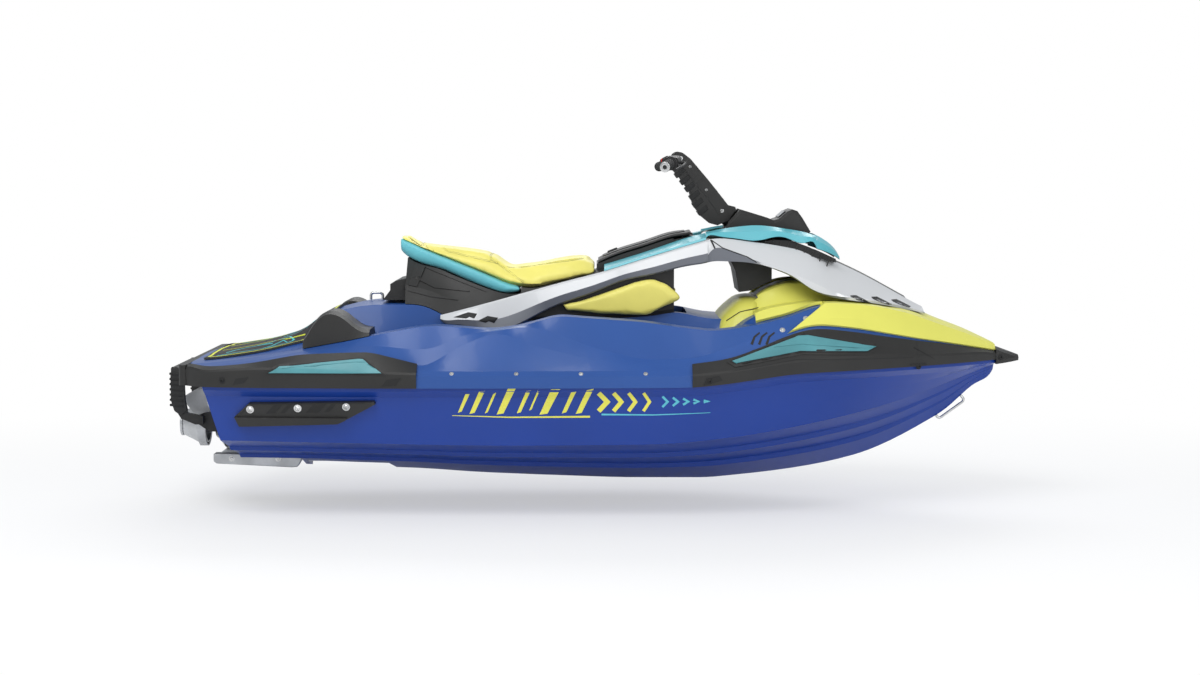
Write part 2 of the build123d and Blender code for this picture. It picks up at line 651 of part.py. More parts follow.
def knee_pad():
    pad = side_profile([(-108, 633), (8, 619), (170, 613), (195, 617), (302, 674), (311, 686), (299, 703),
                        (259, 737), (212, 757), (187, 758), (141, 750), (8, 704), (-125, 658)],
                       CORE_HALF + 0.4, CORE_HALF + 34)
    outer = pad.faces().sort_by(Axis.Y)[-1]
    return chamfer(outer.edges(), 9)


# Hull fittings
def sponson():
    def outline(x):
        hull = hull_half(x)
        (y0, z0), (y1, z1) = hull[9], hull[10]
        rise = 1 if -1200 < x < -800 else 0

        def wall(z):
            return y0 + (y1 - y0) * (z - z0) / (z1 - z0) + JOINT_GAP
        low, high = 276 + 6 * rise, 350
        if x < -1240:
            high = 320
        return [(wall(low), low), (wall(high), high), (wall(high) + 12, high - 2), (wall(310) + 26, 318),
                (wall(290) + 22, 292), (wall(low) + 8, low)]
    return loft_along(evenly(-1250, -760, 60), outline)


def ride_plate():
    plate = block(-1400, TUNNEL_FRONT_X - 1, -TUNNEL_HALF_W + 0.6, TUNNEL_HALF_W - 0.6, 80, 92)
    return plate


def intake_grate():
    half = INTAKE_HALF_W - 0.6
    z0, z1 = 74, 86
    x0, x1 = -1058, -782
    frame = block(x0, x1, -half, half, z0, z1) - block(x0 + 12, x1 - 12, -half + 10, half - 10, z0 - 1, z1 + 1)
    for i in range(3):
        y = (i - 1) * 0.5 * half
        frame += block(x0 + 5, x1 - 5, y - 5, y + 5, z0, z1)
    return frame


def on_pump_axis(x, length, radius):
    return Solid.make_cylinder(radius, length, Plane((x, 0, PUMP_Z), z_dir=(1, 0, 0)))


def revolved(points):
    """Turns an outline of X and radius about the pump's axis."""
    face = Face(Wire.make_polygon([Vector(x, 0, PUMP_Z + r) for x, r in points], close=True))
    return Solid.revolve(face, 360, Axis((0, 0, PUMP_Z), (1, 0, 0)))


ARM_PLATE_Y = (87.0, 95.0)
TRIM_PIVOT_X = -1456.0
BUCKET_PIVOT_X = -1428.0
PIN_R = 5.0


SHAFT_TAIL_R = 10.0


def pump_housing():
    x0 = TUNNEL_FRONT_X - JOINT_GAP
    body = revolved([(x0, PUMP_BORE_R), (x0, PUMP_BORE_R + 9), (-1280, PUMP_BORE_R + 9), (-1300, PUMP_OUTER_R),
                     (-1376, PUMP_OUTER_R), (-1400, 60), (PUMP_REAR_X, 52), (PUMP_REAR_X, 44), (-1380, PUMP_BORE_R)])
    plate = block(-1292, -1280, -TUNNEL_HALF_W + JOINT_GAP, TUNNEL_HALF_W - JOINT_GAP, 92.5,
                  TUNNEL_TOP_Z - JOINT_GAP)
    plate = fillet(plate.edges().filter_by(Axis.X).sort_by(Axis.Z)[-2:], 60 - JOINT_GAP)
    body += plate - on_pump_axis(-1300, 40, PUMP_BORE_R + 4)
    body += revolved([(-1406, 0), (-1398, 12), (-1384, 24), (-1356, 24), (-1356, 0)])
    for angle in (45, 135, 225, 315):
        vane = block(-1378, -1362, -2.5, 2.5, PUMP_Z + 20, PUMP_Z + PUMP_BORE_R + 2)
        body += Pos(0, 0, PUMP_Z) * (Rot(angle, 0, 0) * (Pos(0, 0, -PUMP_Z) * vane))
    body -= on_pump_axis(-1380, 30, SHAFT_TAIL_R + RUN_GAP)
    for side in (-1, 1):
        y0, y1 = sorted((side * ARM_PLATE_Y[0], side * ARM_PLATE_Y[1]))
        web = block(-1400, -1376, min(0, side * 80) if side < 0 else 76, -76 if side < 0 else 80, 190, 220)
        arm = block(-1474, -1372, y0, y1, PUMP_Z - 14, PUMP_Z + 14)
        arm = fillet(arm.edges().filter_by(Axis.Y), 10)
        link = block(-1384, -1372, min(side * 84, side * 90), max(side * 84, side * 90), PUMP_Z - 12, PUMP_Z + 12)
        for x in (TRIM_PIVOT_X, BUCKET_PIVOT_X):
            arm -= bar_between((x, side * 80, PUMP_Z), (x, side * 100, PUMP_Z), PIN_R + RUN_GAP)
        body += link + arm
    return body


def impeller():
    hub = revolved([(-1376, 0), (-1376, SHAFT_TAIL_R), (-1352, SHAFT_TAIL_R), (-1352, 20), (-1345, 27), (-1302, 27),
                    (-1290, SHAFT_R), (-363, SHAFT_R), (-363, 0)])
    blade = block(-1348, -1304, -3, 3, PUMP_Z + 20, PUMP_Z + IMPELLER_R - 1)
    for i in range(4):
        turned = Pos(0, 0, PUMP_Z) * (Rot(90 * i, 0, 0) * (Pos(0, 0, -PUMP_Z) * pitched(blade)))
        hub += turned
    return hub


def pitched(blade):
    middle = Vector(-1326, 0, PUMP_Z)
    return Pos(middle) * (Rot(0, 0, 35) * (Pos(-middle) * blade))


def trim_ring():
    ring_part = revolved([(-1470, 79), (-1470, 85), (-1442, 85), (-1442, 79)])
    for side in (-1, 1):
        ring_part += bar_between((TRIM_PIVOT_X, side * 82, PUMP_Z), (TRIM_PIVOT_X, side * 94, PUMP_Z), PIN_R)
        ring_part -= bar_between((TRIM_PIVOT_X, 0, PUMP_Z + side * 70), (TRIM_PIVOT_X, 0, PUMP_Z + side * 90), 6.3)
    return ring_part


def steering_nozzle():
    body = revolved([(-1442, 68), (-1442, 73), (-1456, 76), (-1474, 74), (-1500, 60), (NOZZLE_EXIT_X + 8, 44),
                     (NOZZLE_EXIT_X + 8, 47), (NOZZLE_EXIT_X, 47), (NOZZLE_EXIT_X, 36), (-1474, 66)])
    for side in (-1, 1):
        body += bar_between((TRIM_PIVOT_X, 0, PUMP_Z + side * 72), (TRIM_PIVOT_X, 0, PUMP_Z + side * 84), 6.0)
    return body


BUCKET_IN_R, BUCKET_OUT_R, BUCKET_HALF = 132.0, 138.0, 103.0


def bucket_point(angle, radius):
    a = math.radians(angle)
    return (BUCKET_PIVOT_X - radius * math.cos(a), PUMP_Z + radius * math.sin(a))


def reverse_bucket():
    spread = [48 + 6 * i for i in range(11)]
    shell = side_profile([bucket_point(a, BUCKET_OUT_R) for a in spread]
                         + [bucket_point(a, BUCKET_IN_R) for a in reversed(spread)], -BUCKET_HALF, BUCKET_HALF)
    for side in (-1, 1):
        y0, y1 = sorted((side * (BUCKET_HALF - 6), side * BUCKET_HALF))
        cheek = side_profile([bucket_point(48, BUCKET_OUT_R), bucket_point(78, BUCKET_OUT_R),
                              bucket_point(108, BUCKET_OUT_R), bucket_point(150, 12), bucket_point(230, 12),
                              bucket_point(310, 12), bucket_point(0, 14)], y0, y1)
        shell += cheek
        shell += bar_between((BUCKET_PIVOT_X, side * 100, PUMP_Z), (BUCKET_PIVOT_X, side * 90, PUMP_Z), PIN_R)
    return shell


def transom_x(z):
    slope = (TRANSOM_TOP[0] - TRANSOM_BOTTOM[0]) / (TRANSOM_TOP[1] - TRANSOM_BOTTOM[1])
    return TRANSOM_BOTTOM[0] + slope * (z - TRANSOM_BOTTOM[1])


def step_bracket():
    x, z = STEP_PIVOT
    outline = [(transom_x(190) - JOINT_GAP, 190), (transom_x(270) - JOINT_GAP, 270), (x + 14, 262),
               (x - 16, 250), (x - 16, 226), (x + 30, 194)]
    bracket = side_profile(outline, STEP_ARM_Y - 30, STEP_ARM_Y - 14)
    return bracket - bar_between((x, STEP_ARM_Y - 40, z), (x, STEP_ARM_Y, z), 8.3)


def boarding_step():
    px, pz = STEP_PIVOT
    arm = side_profile([(px + 14, pz - 14), (px + 14, pz + 14), (px - 42, pz + 26), (px - 70, pz + 60),
                        (px - 74, pz + 190), (px - 98, pz + 193), (px - 98, pz + 60), (px - 66, pz + 6),
                        (px - 14, pz - 16)], STEP_ARM_Y - 12, STEP_ARM_Y + 12)
    pin = bar_between((px, STEP_ARM_Y - 29, pz), (px, STEP_ARM_Y - 8, pz), 8)
    side = arm + pin
    tread = block(px - 100, px - 72, -STEP_ARM_Y - 12, STEP_ARM_Y + 12, pz + 140, pz + 193)
    tread = fillet(tread.edges().filter_by(Axis.Y), 6)
    return side + mirror_y(side) + tread


def rod(points, radius, bend):
    path = FilletPolyline(*[Vector(*p) for p in points], radius=bend)
    start = Plane(Vector(*points[0]), z_dir=Vector(*points[1]) - Vector(*points[0]))
    return sweep(start * Circle(radius), path=path)


def tow_hook():
    z = CENTRE_Z(-811) + 1.05
    return rod([(-834, 0, z), (-834, 0, z + 26), (-790, 0, z + 26), (-790, 0, z)], 5, 12)


def off_stem(x, distance):
    """A point on the centre plane, this far out from the stem's line at x."""
    slope = (KEEL_Z(x + 5) - KEEL_Z(x - 5)) / 10
    size = math.hypot(1, slope)
    return (x + slope / size * distance, 0, KEEL_Z(x) - distance / size)


def bow_eye():
    return rod([off_stem(1356, 0.6), off_stem(1356, 24), off_stem(1266, 17), off_stem(1266, 0.6)], 5, 11)


def stern_eye():
    z = 318
    plate_x = transom_x(z)
    slope = Vector(transom_x(348) - transom_x(288), 0, 60).normalized()
    out = Vector(-slope.Z, 0, slope.X)
    base = Vector(plate_x, 300, z) + out * 0.6
    ends = [base - slope * 20, base - slope * 20 + out * 30, base + slope * 20 + out * 30, base + slope * 20]
    bent = rod([tuple(p) for p in ends], 5, 14)
    plate = Plane(base + out * 2.2, x_dir=slope, z_dir=out) * Box(64, 30, 3.6)
    return bent + plate


# Steering
RISER_HALF = 46.0
BAR_AXIS = (300.0, 1184.0)
BAR_BEND = (292.0, 112.0, 1182.0)
GRIP_END = (244.0, 375.0, 1155.0)
BAR_R = 11.0
GRIP_R = 16.5


def steering_riser():
    outline = [(484, 957), (515, 998), (512, 1008), (486, 1014), (413, 1106), (367, 1160), (347, 1184), (317, 1207),
               (294, 1211), (278, 1200), (274, 1150), (304, 1119), (342, 1066), (357, 1013), (388, 972),
               (417, 948), (447, 940)]
    body = side_profile(outline, -RISER_HALF, RISER_HALF)
    body = chamfer(body.edges().filter_by(Axis.Y).sort_by(Axis.Z)[-6:], 4)
    tube = bar_between((BAR_AXIS[0], -60, BAR_AXIS[1]), (BAR_AXIS[0], 60, BAR_AXIS[1]), BAR_R + 0.3)
    shaft = round_on_axis(-SHAFT_DEPTH, SHAFT_DEPTH, SHAFT_TOP_R)
    return body - round_on_axis(-60, 36, 60) - tube + shaft


def handlebar():
    x, z = BAR_AXIS
    end = GRIP_END
    half = [(x, 50, z), BAR_BEND, end]
    points = [(px, -py, pz) for px, py, pz in half[::-1]] + half
    return rod(points, BAR_R, 30)


def along_grip(share, drop=0.0, ahead=0.0):
    """A point beside the straight outer length of the handlebar."""
    a, b = Vector(*BAR_BEND), Vector(*GRIP_END)
    return a + (b - a) * share + Vector(ahead, 0, -drop)


def grip():
    start, end = along_grip(0.52), along_grip(1.0)
    direction = (end - start).normalized()
    sleeve = bar_between(tuple(start), tuple(end + direction * 0.5), GRIP_R)
    flange = bar_between(tuple(start), tuple(start + direction * 6), GRIP_R + 8)
    cap = bar_between(tuple(end + direction * 0.4), tuple(end + direction * 5), GRIP_R + 2)
    bore = bar_between(tuple(start - direction * 5), tuple(end + direction * 0.4), BAR_R + 0.3)
    return sleeve + flange - bore + cap


def control_pod():
    start, end = along_grip(0.20), along_grip(0.48)
    direction = (end - start).normalized()
    plane = Plane(start, x_dir=Vector(0, 0, 1), z_dir=direction)
    body = plane * (Pos(-4, 0, (end - start).length / 2) * Box(46, 52, (end - start).length))
    body = fillet(body.edges().filter_by(lambda e: abs(e.tangent_at(0).dot(direction)) > 0.99), 12)
    return body - bar_between(tuple(start - direction * 5), tuple(end + direction * 5), BAR_R + 0.3)


def lever():
    points = [along_grip(0.36, 2, 28.6), along_grip(0.40, 4, 50), along_grip(0.62, 8, 46), along_grip(0.95, 12, 34)]
    return rod([tuple(p) for p in points], 5, 10)


PARTS = {
    "engine_block": engine_block, "bow_deck": bow_deck, "stern_bumper": stern_bumper,
    "nose_bumper": nose_bumper, "rear_mat": rear_mat, "hood_strip": hood_strip,
    "console_core": console_core, "glovebox_lid": glovebox_lid, "cowl_trim_front": cowl_trim_front,
    "gauge_cowl": gauge_cowl, "display": display, "seat_base": seat_base, "seat_side_band": seat_side_band,
    "seat_cushion": seat_cushion, "ride_plate": ride_plate, "intake_grate": intake_grate,
    "pump_housing": pump_housing, "impeller": impeller, "trim_ring": trim_ring,
    "steering_nozzle": steering_nozzle, "reverse_bucket": reverse_bucket, "boarding_step": boarding_step,
    "tow_hook": tow_hook, "bow_eye": bow_eye, "steering_riser": steering_riser, "handlebar": handlebar,
}
PAIRS = {
    "bow_panel": bow_panel, "bow_bumper": bow_bumper, "well_mat": well_mat, "foot_chock": foot_chock,
    "rear_arm": rear_arm, "front_shell": front_shell, "cowl_trim_rear": cowl_trim_rear,
    "bow_insert": bow_insert, "stern_insert": stern_insert, "grip": grip, "control_pod": control_pod,
    "lever": lever, "knee_pad": knee_pad, "sponson": sponson, "step_bracket": step_bracket, "stern_eye": stern_eye,
}

if __name__ == "__main__":
    save(make_hull(), "hull")
    save(make_deck(), "deck")
    for name, make in PARTS.items():
        save(make(), name)
    for name, make in PAIRS.items():
        left = make()
        save(left, name + "_left")
        save(mirror_y(left), name + "_right")
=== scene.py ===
import bmesh
import bpy
import json
import math
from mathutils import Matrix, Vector
from mathutils.bvhtree import BVHTree
from mathutils.kdtree import KDTree


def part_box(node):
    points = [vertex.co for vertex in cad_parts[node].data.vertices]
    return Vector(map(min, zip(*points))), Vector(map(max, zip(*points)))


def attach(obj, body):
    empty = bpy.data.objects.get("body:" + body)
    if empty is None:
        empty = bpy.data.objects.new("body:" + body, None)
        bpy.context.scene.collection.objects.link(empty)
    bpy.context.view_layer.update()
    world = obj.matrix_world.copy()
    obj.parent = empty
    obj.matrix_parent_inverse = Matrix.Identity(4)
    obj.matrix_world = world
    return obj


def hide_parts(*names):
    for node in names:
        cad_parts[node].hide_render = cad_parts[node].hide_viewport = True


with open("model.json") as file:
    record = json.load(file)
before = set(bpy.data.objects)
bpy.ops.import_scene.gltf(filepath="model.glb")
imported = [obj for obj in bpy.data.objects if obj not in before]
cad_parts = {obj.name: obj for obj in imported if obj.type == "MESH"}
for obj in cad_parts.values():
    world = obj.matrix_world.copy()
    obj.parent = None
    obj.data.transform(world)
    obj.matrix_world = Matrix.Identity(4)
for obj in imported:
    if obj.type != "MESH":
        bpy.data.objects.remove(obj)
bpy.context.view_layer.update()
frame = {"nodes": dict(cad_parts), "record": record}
NODES = frame["nodes"]

LEFT, RIGHT = 1, -1
SIDES = (LEFT, RIGHT)
BLACK, WHITE = (0, 0, 0), (1, 1, 1)

# The camera, matched to the photo's
CAMERA_PLACE = (0.0148, -8.0, 0.918)
CAMERA_DIP_DEG = 4.61
SENSOR_MM = 36
LENS_MM = 64.86
CLIP_END = 200

# The studio: each area light's place, aim, size and power
AREA_LIGHTS = {
    "key": ((-2.2, -4.2, 5.2), (0, 0, 0.2), (4.5, 3.0), 235),
    "fill": ((3.5, -5.5, 2.2), (0.2, 0, 0.2), (4.0, 3.0), 80),
    "rim": ((0.5, 4.5, 3.8), (0, 0, 0.4), (5.0, 2.0), 120),
}
WORLD_COLOUR = (0.93, 0.96, 1.0, 1)
WORLD_STRENGTH = 0.60
FLOOR_Z = -0.335
FLOOR_HALF = 60
FLOOR_SQUEEZE = (0.7, 1, 1)
WHITENING_START = 1.1
WHITENING_END = 3.4
WHITENING_NEAR = 0.45

# Laying patches on surfaces
SIDE_RAY_Y = 1.5
TOP_RAY_Z = 2.0
STERN_RAY_X = -3.0
MISSED_RAY = 1.2
SKIRT = 0.0005
STEEPEST_MITRE = 0.6

# Cushions blown up as cloth
PRESSURE = 4.0
CLOTH_FRAMES = 20
CLOTH_QUALITY = 5
CLOTH_MASS = 0.35
CLOTH_STIFFNESS = 22
CLOTH_BENDING = 1.2


# Camera and studio

def make_camera():
    camera = bpy.data.objects.new("camera", bpy.data.cameras.new("camera"))
    bpy.context.scene.collection.objects.link(camera)
    camera.location = CAMERA_PLACE
    camera.rotation_euler = (math.radians(90 - CAMERA_DIP_DEG), 0, 0)
    camera.data.sensor_width = SENSOR_MM
    camera.data.lens = LENS_MM
    camera.data.clip_end = CLIP_END
    bpy.context.scene.camera = camera


def area_light(name, place, aim, size, power):
    data = bpy.data.lights.new(name, "AREA")
    data.shape = "RECTANGLE"
    data.size, data.size_y = size
    data.energy = power
    light = bpy.data.objects.new(name, data)
    bpy.context.scene.collection.objects.link(light)
    light.location = place
    light.rotation_euler = (Vector(aim) - Vector(place)).to_track_quat("-Z", "Y").to_euler()


def make_world():
    """A soft world that lights the craft, and plain white where the camera looks past it."""
    world = bpy.data.worlds.new("studio")
    bpy.context.scene.world = world
    world.use_nodes = True
    tree = world.node_tree
    tree.nodes.clear()
    lit = add_node(tree, "Background", Color=WORLD_COLOUR, Strength=WORLD_STRENGTH)
    seen = add_node(tree, "Background", Color=(*WHITE, 1), Strength=1.0)
    rays = add_node(tree, "LightPath").outputs
    either = combined(tree, "MAXIMUM", rays["Is Camera Ray"], rays["Is Transmission Ray"])
    out = add_node(tree, "OutputWorld")
    tree.links.new(mixed(tree, either, lit.outputs[0], seen.outputs[0]), out.inputs[0])


def make_studio():
    scene = bpy.context.scene
    scene.view_settings.view_transform = "Standard"
    make_world()
    for name, values in AREA_LIGHTS.items():
        area_light(name, *values)
    floor = bpy.data.meshes.new("floor")
    corners = [(x * FLOOR_HALF, y * FLOOR_HALF, FLOOR_Z) for x, y in ((-1, -1), (1, -1), (1, 1), (-1, 1))]
    floor.from_pydata(corners, [], [(0, 1, 2, 3)])
    floor_object = bpy.data.objects.new("floor", floor)
    scene.collection.objects.link(floor_object)
    floor.materials.append(floor_material())


# Materials

def nodes_of(name):
    material = bpy.data.materials.new(name)
    material.use_nodes = True
    tree = material.node_tree
    return material, tree, tree.nodes["Principled BSDF"]


def set_inputs(node, **values):
    """Sets a node's inputs by name, with _ for a space, to a value or to another node's output."""
    for key, value in values.items():
        socket = node.inputs[key.replace("_", " ")]
        if isinstance(value, bpy.types.NodeSocket):
            node.id_data.links.new(value, socket)
        else:
            socket.default_value = value


def add_node(tree, kind, **values):
    node = tree.nodes.new("ShaderNode" + kind)
    set_inputs(node, **values)
    return node


def combined(tree, operation, a, b):
    node = add_node(tree, "Math")
    node.operation = operation
    tree.links.new(a, node.inputs[0])
    tree.links.new(b, node.inputs[1])
    return node.outputs[0]


def mixed(tree, factor, a, b):
    """A shader that goes from a to b with the factor."""
    node = add_node(tree, "MixShader")
    for socket, source in enumerate((factor, a, b)):
        tree.links.new(source, node.inputs[socket])
    return node.outputs[0]


def floor_material():
    """Pale floor: it takes the object's shadow, and far from the object the camera sees it as white."""
    material, tree, shader = nodes_of("studio_floor")
    coordinates = add_node(tree, "TexCoord")
    squeeze = add_node(tree, "Mapping", Vector=coordinates.outputs["Object"], Scale=FLOOR_SQUEEZE)
    distance = add_node(tree, "VectorMath")
    distance.operation = "LENGTH"
    tree.links.new(squeeze.outputs["Vector"], distance.inputs[0])
    far = add_node(tree, "MapRange", Value=distance.outputs["Value"], From_Min=WHITENING_START,
                   From_Max=WHITENING_END, To_Min=WHITENING_NEAR)
    far.interpolation_type = "SMOOTHSTEP"
    rays = add_node(tree, "LightPath")
    seen = combined(tree, "MULTIPLY", far.outputs["Result"], rays.outputs["Is Camera Ray"])
    white = add_node(tree, "Emission", Color=(*WHITE, 1))
    set_inputs(tree.nodes["Material Output"], Surface=mixed(tree, seen, shader.outputs[0], white.outputs[0]))
    clouds = add_node(tree, "TexNoise", Scale=0.6)
    pale = ramp_from(tree, clouds.outputs["Fac"], (0.90, 0.90, 0.90), (0.93, 0.93, 0.93))
    set_inputs(shader, Base_Color=pale, Roughness=0.55, Specular_IOR_Level=0.2)
    return material


def place_texture(tree, kind, scale, stretch=(1, 1, 1), **values):
    """A texture on the piece's own coordinates, in features per metre."""
    coordinates = add_node(tree, "TexCoord")
    mapping = add_node(tree, "Mapping", Vector=coordinates.outputs["Object"], Scale=stretch)
    return add_node(tree, kind, Vector=mapping.outputs["Vector"], Scale=scale, **values)


def noise(tree, scale, stretch=(1, 1, 1), **values):
    return place_texture(tree, "TexNoise", scale, stretch, **values).outputs["Fac"]


def voronoi(tree, scale):
    return place_texture(tree, "TexVoronoi", scale).outputs["Distance"]


def ramp_from(tree, source, low, high, start=0.0, end=1.0):
    ramp = add_node(tree, "ValToRGB", Fac=source)
    first, last = ramp.color_ramp.elements
    first.position, last.position = start, end
    first.color, last.color = (*low, 1), (*high, 1)
    return ramp.outputs["Color"]


def range_from(tree, source, low, high):
    return add_node(tree, "MapRange", Value=source, To_Min=low, To_Max=high).outputs["Result"]


def shade(colour, factor):
    return tuple(min(1.0, c * factor) for c in colour)


def clouded(tree, colour, scale, detail, dark, light, end=0.7):
    """The colour in soft clouds that are a little darker and lighter."""
    clouds = noise(tree, scale, Detail=detail)
    return ramp_from(tree, clouds, shade(colour, dark), shade(colour, light), 0.3, end)


def bumps(tree, shader, layers):
    """Stacks height sources into one normal: (source, strength, distance in metres)."""
    normal = None
    for source, strength, distance in layers:
        bump = add_node(tree, "Bump", Height=source, Strength=strength, Distance=distance)
        if normal:
            set_inputs(bump, Normal=normal)
        normal = bump.outputs["Normal"]
    set_inputs(shader, Normal=normal)


def worn(tree, base, colour, amount):
    """Lightens the colour along sharp edges and in scuffs."""
    geometry = add_node(tree, "NewGeometry")
    edge = ramp_from(tree, geometry.outputs["Pointiness"], BLACK, WHITE, 0.56, 0.68)
    scuffs = ramp_from(tree, noise(tree, 38, Detail=6, Roughness=0.7), BLACK, WHITE, 0.52, 0.66)
    factor = range_from(tree, combined(tree, "MULTIPLY", edge, scuffs), 0, amount)
    mix = add_node(tree, "Mix")
    mix.data_type = "RGBA"
    set_inputs(mix, Factor=factor, A=base, B=(*colour, 1))
    return mix.outputs["Result"]


def gelcoat(name, colour, roughness=0.16, coat=0.7, specular=0.5):
    """Glossy moulded skin: faint long clouds, orange peel, small scuffs on its edges."""
    material, tree, shader = nodes_of(name)
    base = clouded(tree, colour, 2.3, 4, 0.93, 1.06)
    smudge = noise(tree, 9, Detail=6, Roughness=0.65)
    bumps(tree, shader, [(noise(tree, 240, Detail=2), 0.05, 0.0006)])
    set_inputs(shader, Base_Color=worn(tree, base, shade(colour, 1.2), 0.15),
               Roughness=range_from(tree, smudge, roughness - 0.04, roughness + 0.1),
               Specular_IOR_Level=specular, Coat_Weight=coat, Coat_Roughness=0.06)
    return material


def silver_shaded_underneath(name, upper, lower):
    """Silver skin whose down-turned facets are painted dark grey: painted shade on the undersides."""
    material, tree, shader = nodes_of(name)
    coordinates = add_node(tree, "TexCoord")
    parts = add_node(tree, "SeparateXYZ", Vector=coordinates.outputs["Normal"])
    # Facets that turn downwards take the dark grey: painted shade on the undersides.
    facing = add_node(tree, "MapRange", Value=parts.outputs["Z"], From_Min=-0.16, From_Max=-0.04)
    silver_and_painted_shade = ramp_from(tree, facing.outputs["Result"], lower, upper)
    bumps(tree, shader, [(voronoi(tree, 1400), 0.08, 0.0004)])
    set_inputs(shader, Base_Color=worn(tree, silver_and_painted_shade, (0.5, 0.5, 0.5), 0.12),
               Roughness=range_from(tree, noise(tree, 7, Detail=6), 0.24, 0.36),
               Specular_IOR_Level=0.45, Coat_Weight=0.25)
    return material


def moulded(name, colour, roughness=0.5, grain=0.35, wear=2.6):
    """Satin moulded plastic with a fine spark grain and worn edges."""
    material, tree, shader = nodes_of(name)
    base = clouded(tree, colour, 5, 5, 0.82, 1.25)
    bumps(tree, shader, [(voronoi(tree, 620), grain, 0.0004),
                         (noise(tree, 160, Detail=3), grain * 0.3, 0.0006)])
    set_inputs(shader, Base_Color=worn(tree, base, shade(colour, wear), 0.4),
               Roughness=range_from(tree, noise(tree, 14, Detail=6), roughness - 0.08, roughness + 0.1))
    return material


def vinyl(name, colour):
    """Marine vinyl: pebbled grain over soft creases, satin with a little sheen."""
    material, tree, shader = nodes_of(name)
    pebble = place_texture(tree, "TexVoronoi", 430)
    pebble.feature = "SMOOTH_F1"
    crease = noise(tree, 46, Detail=8, Roughness=0.6)
    bumps(tree, shader, [(pebble.outputs["Distance"], 0.35, 0.0007), (crease, 0.12, 0.002)])
    set_inputs(shader, Base_Color=clouded(tree, colour, 6, 5, 0.90, 1.05),
               Roughness=range_from(tree, crease, 0.38, 0.56), Sheen_Weight=0.12)
    return material


def foam(name, colour):
    """Closed-cell foam matting: fine cells under pressed diagonal grooves."""
    material, tree, shader = nodes_of(name)
    groove = place_texture(tree, "TexWave", 26, Distortion=0.0)
    groove.wave_type, groove.bands_direction = "BANDS", "DIAGONAL"
    lines = ramp_from(tree, groove.outputs["Fac"], BLACK, WHITE, 0.06, 0.22)
    bumps(tree, shader, [(voronoi(tree, 900), 0.4, 0.0006), (lines, 0.6, 0.0016)])
    set_inputs(shader, Base_Color=clouded(tree, colour, 18, 6, 0.75, 1.35), Roughness=0.82)
    return material


def metal(name, colour, roughness, stretch=(1, 1, 1), bump_scale=260, bump_depth=0.25):
    """Bare metal, a little stained; stretched marks make it brushed."""
    material, tree, shader = nodes_of(name)
    marks = noise(tree, bump_scale, stretch, Detail=6, Roughness=0.7)
    bumps(tree, shader, [(marks, bump_depth, 0.0006)])
    set_inputs(shader, Base_Color=clouded(tree, colour, 12, 6, 0.72, 1.05, 0.65),
               Roughness=range_from(tree, marks, roughness - 0.1, roughness + 0.14), Metallic=1.0)
    return material


# Each material's maker, colour and further values; the first fifteen are the record's slots
RECIPES = {
    "hull_gelcoat": (gelcoat, (0.007, 0.043, 0.28), 0.30, 0.12, 0.35),
    "deck_gelcoat": (gelcoat, (0.020, 0.076, 0.285), 0.34, 0.10, 0.35),
    "bow_gelcoat": (gelcoat, (0.74, 0.72, 0.13), 0.34, 0.15, 0.35),
    # Silver, with its down-turned facets painted dark grey as shade.
    "silver_shell": (silver_shaded_underneath, (0.60, 0.61, 0.62), (0.150, 0.160, 0.185)),
    "cyan_gloss": (gelcoat, (0.11, 0.46, 0.53), 0.30, 0.2, 0.35),
    "teal_insert": (moulded, (0.075, 0.27, 0.30), 0.42, 0.2, 1.1),
    "black_plastic": (moulded, (0.0135, 0.0130, 0.0120)),
    "display_glass": (gelcoat, (0.02, 0.022, 0.025), 0.08, 1.0),
    "seat_vinyl": (vinyl, (0.84, 0.76, 0.17)),
    "band_vinyl": (vinyl, (0.13, 0.50, 0.57)),
    "foam_mat": (foam, (0.035, 0.035, 0.038)),
    "grip_rubber": (moulded, (0.020, 0.020, 0.020), 0.7, 0.6),
    "cast_alloy": (metal, (0.56, 0.57, 0.58), 0.42, (1, 1, 1), 420, 0.5),
    "stainless": (metal, (0.70, 0.70, 0.69), 0.22, (1, 1, 14), 320, 0.12),
    "engine_paint": (moulded, (0.06, 0.06, 0.065), 0.5, 0.5),
    "seam_thread": (moulded, (0.16, 0.15, 0.04), 0.7, 0.5, 1.4),
    # Near-black for black parts, and painted shade in slits, vents, grooves, pressed marks and the grille's
    # gap.
    "recess_black": (moulded, (0.006, 0.006, 0.006), 0.6, 0.6),
    "lime_line": (moulded, (0.72, 0.78, 0.05), 0.5, 0.3, 1.1),
    "cyan_line": (moulded, (0.08, 0.55, 0.58), 0.5, 0.3, 1.1),
    "decal_yellow": (gelcoat, (0.78, 0.74, 0.08), 0.25, 0.4),
    "decal_cyan": (gelcoat, (0.09, 0.50, 0.60), 0.25, 0.4),
    "shell_grey": (gelcoat, (0.20, 0.21, 0.24), 0.3, 0.4),
    "bolt_steel": (metal, (0.72, 0.72, 0.71), 0.25, (1, 1, 1), 500, 0.15),
    "dial_pale": (moulded, (0.55, 0.60, 0.62), 0.4, 0.1),
    "kill_red": (moulded, (0.55, 0.02, 0.015), 0.35, 0.2),
}
MATERIALS = {name: recipe(name, *values) for name, (recipe, *values) in RECIPES.items()}


# Meshes laid on the model's surfaces

def surface(*names):
    """A tree for casting rays at these CAD nodes."""
    verts, faces = [], []
    for name in names:
        mesh = NODES[name].data
        start = len(verts)
        verts += [v.co.copy() for v in mesh.vertices]
        faces += [[start + i for i in polygon.vertices] for polygon in mesh.polygons]
    return BVHTree.FromPolygons(verts, faces)


def from_side(side):
    """Rays for side outlines given as x and z."""
    return lambda u, v: (Vector((u, side * SIDE_RAY_Y, v)), Vector((0, -side, 0)))


def from_above(u, v):
    return Vector((u, v, TOP_RAY_Z)), Vector((0, 0, -1))


def from_stern(u, v):
    return Vector((STERN_RAY_X, u, v)), Vector((1, 0, 0))


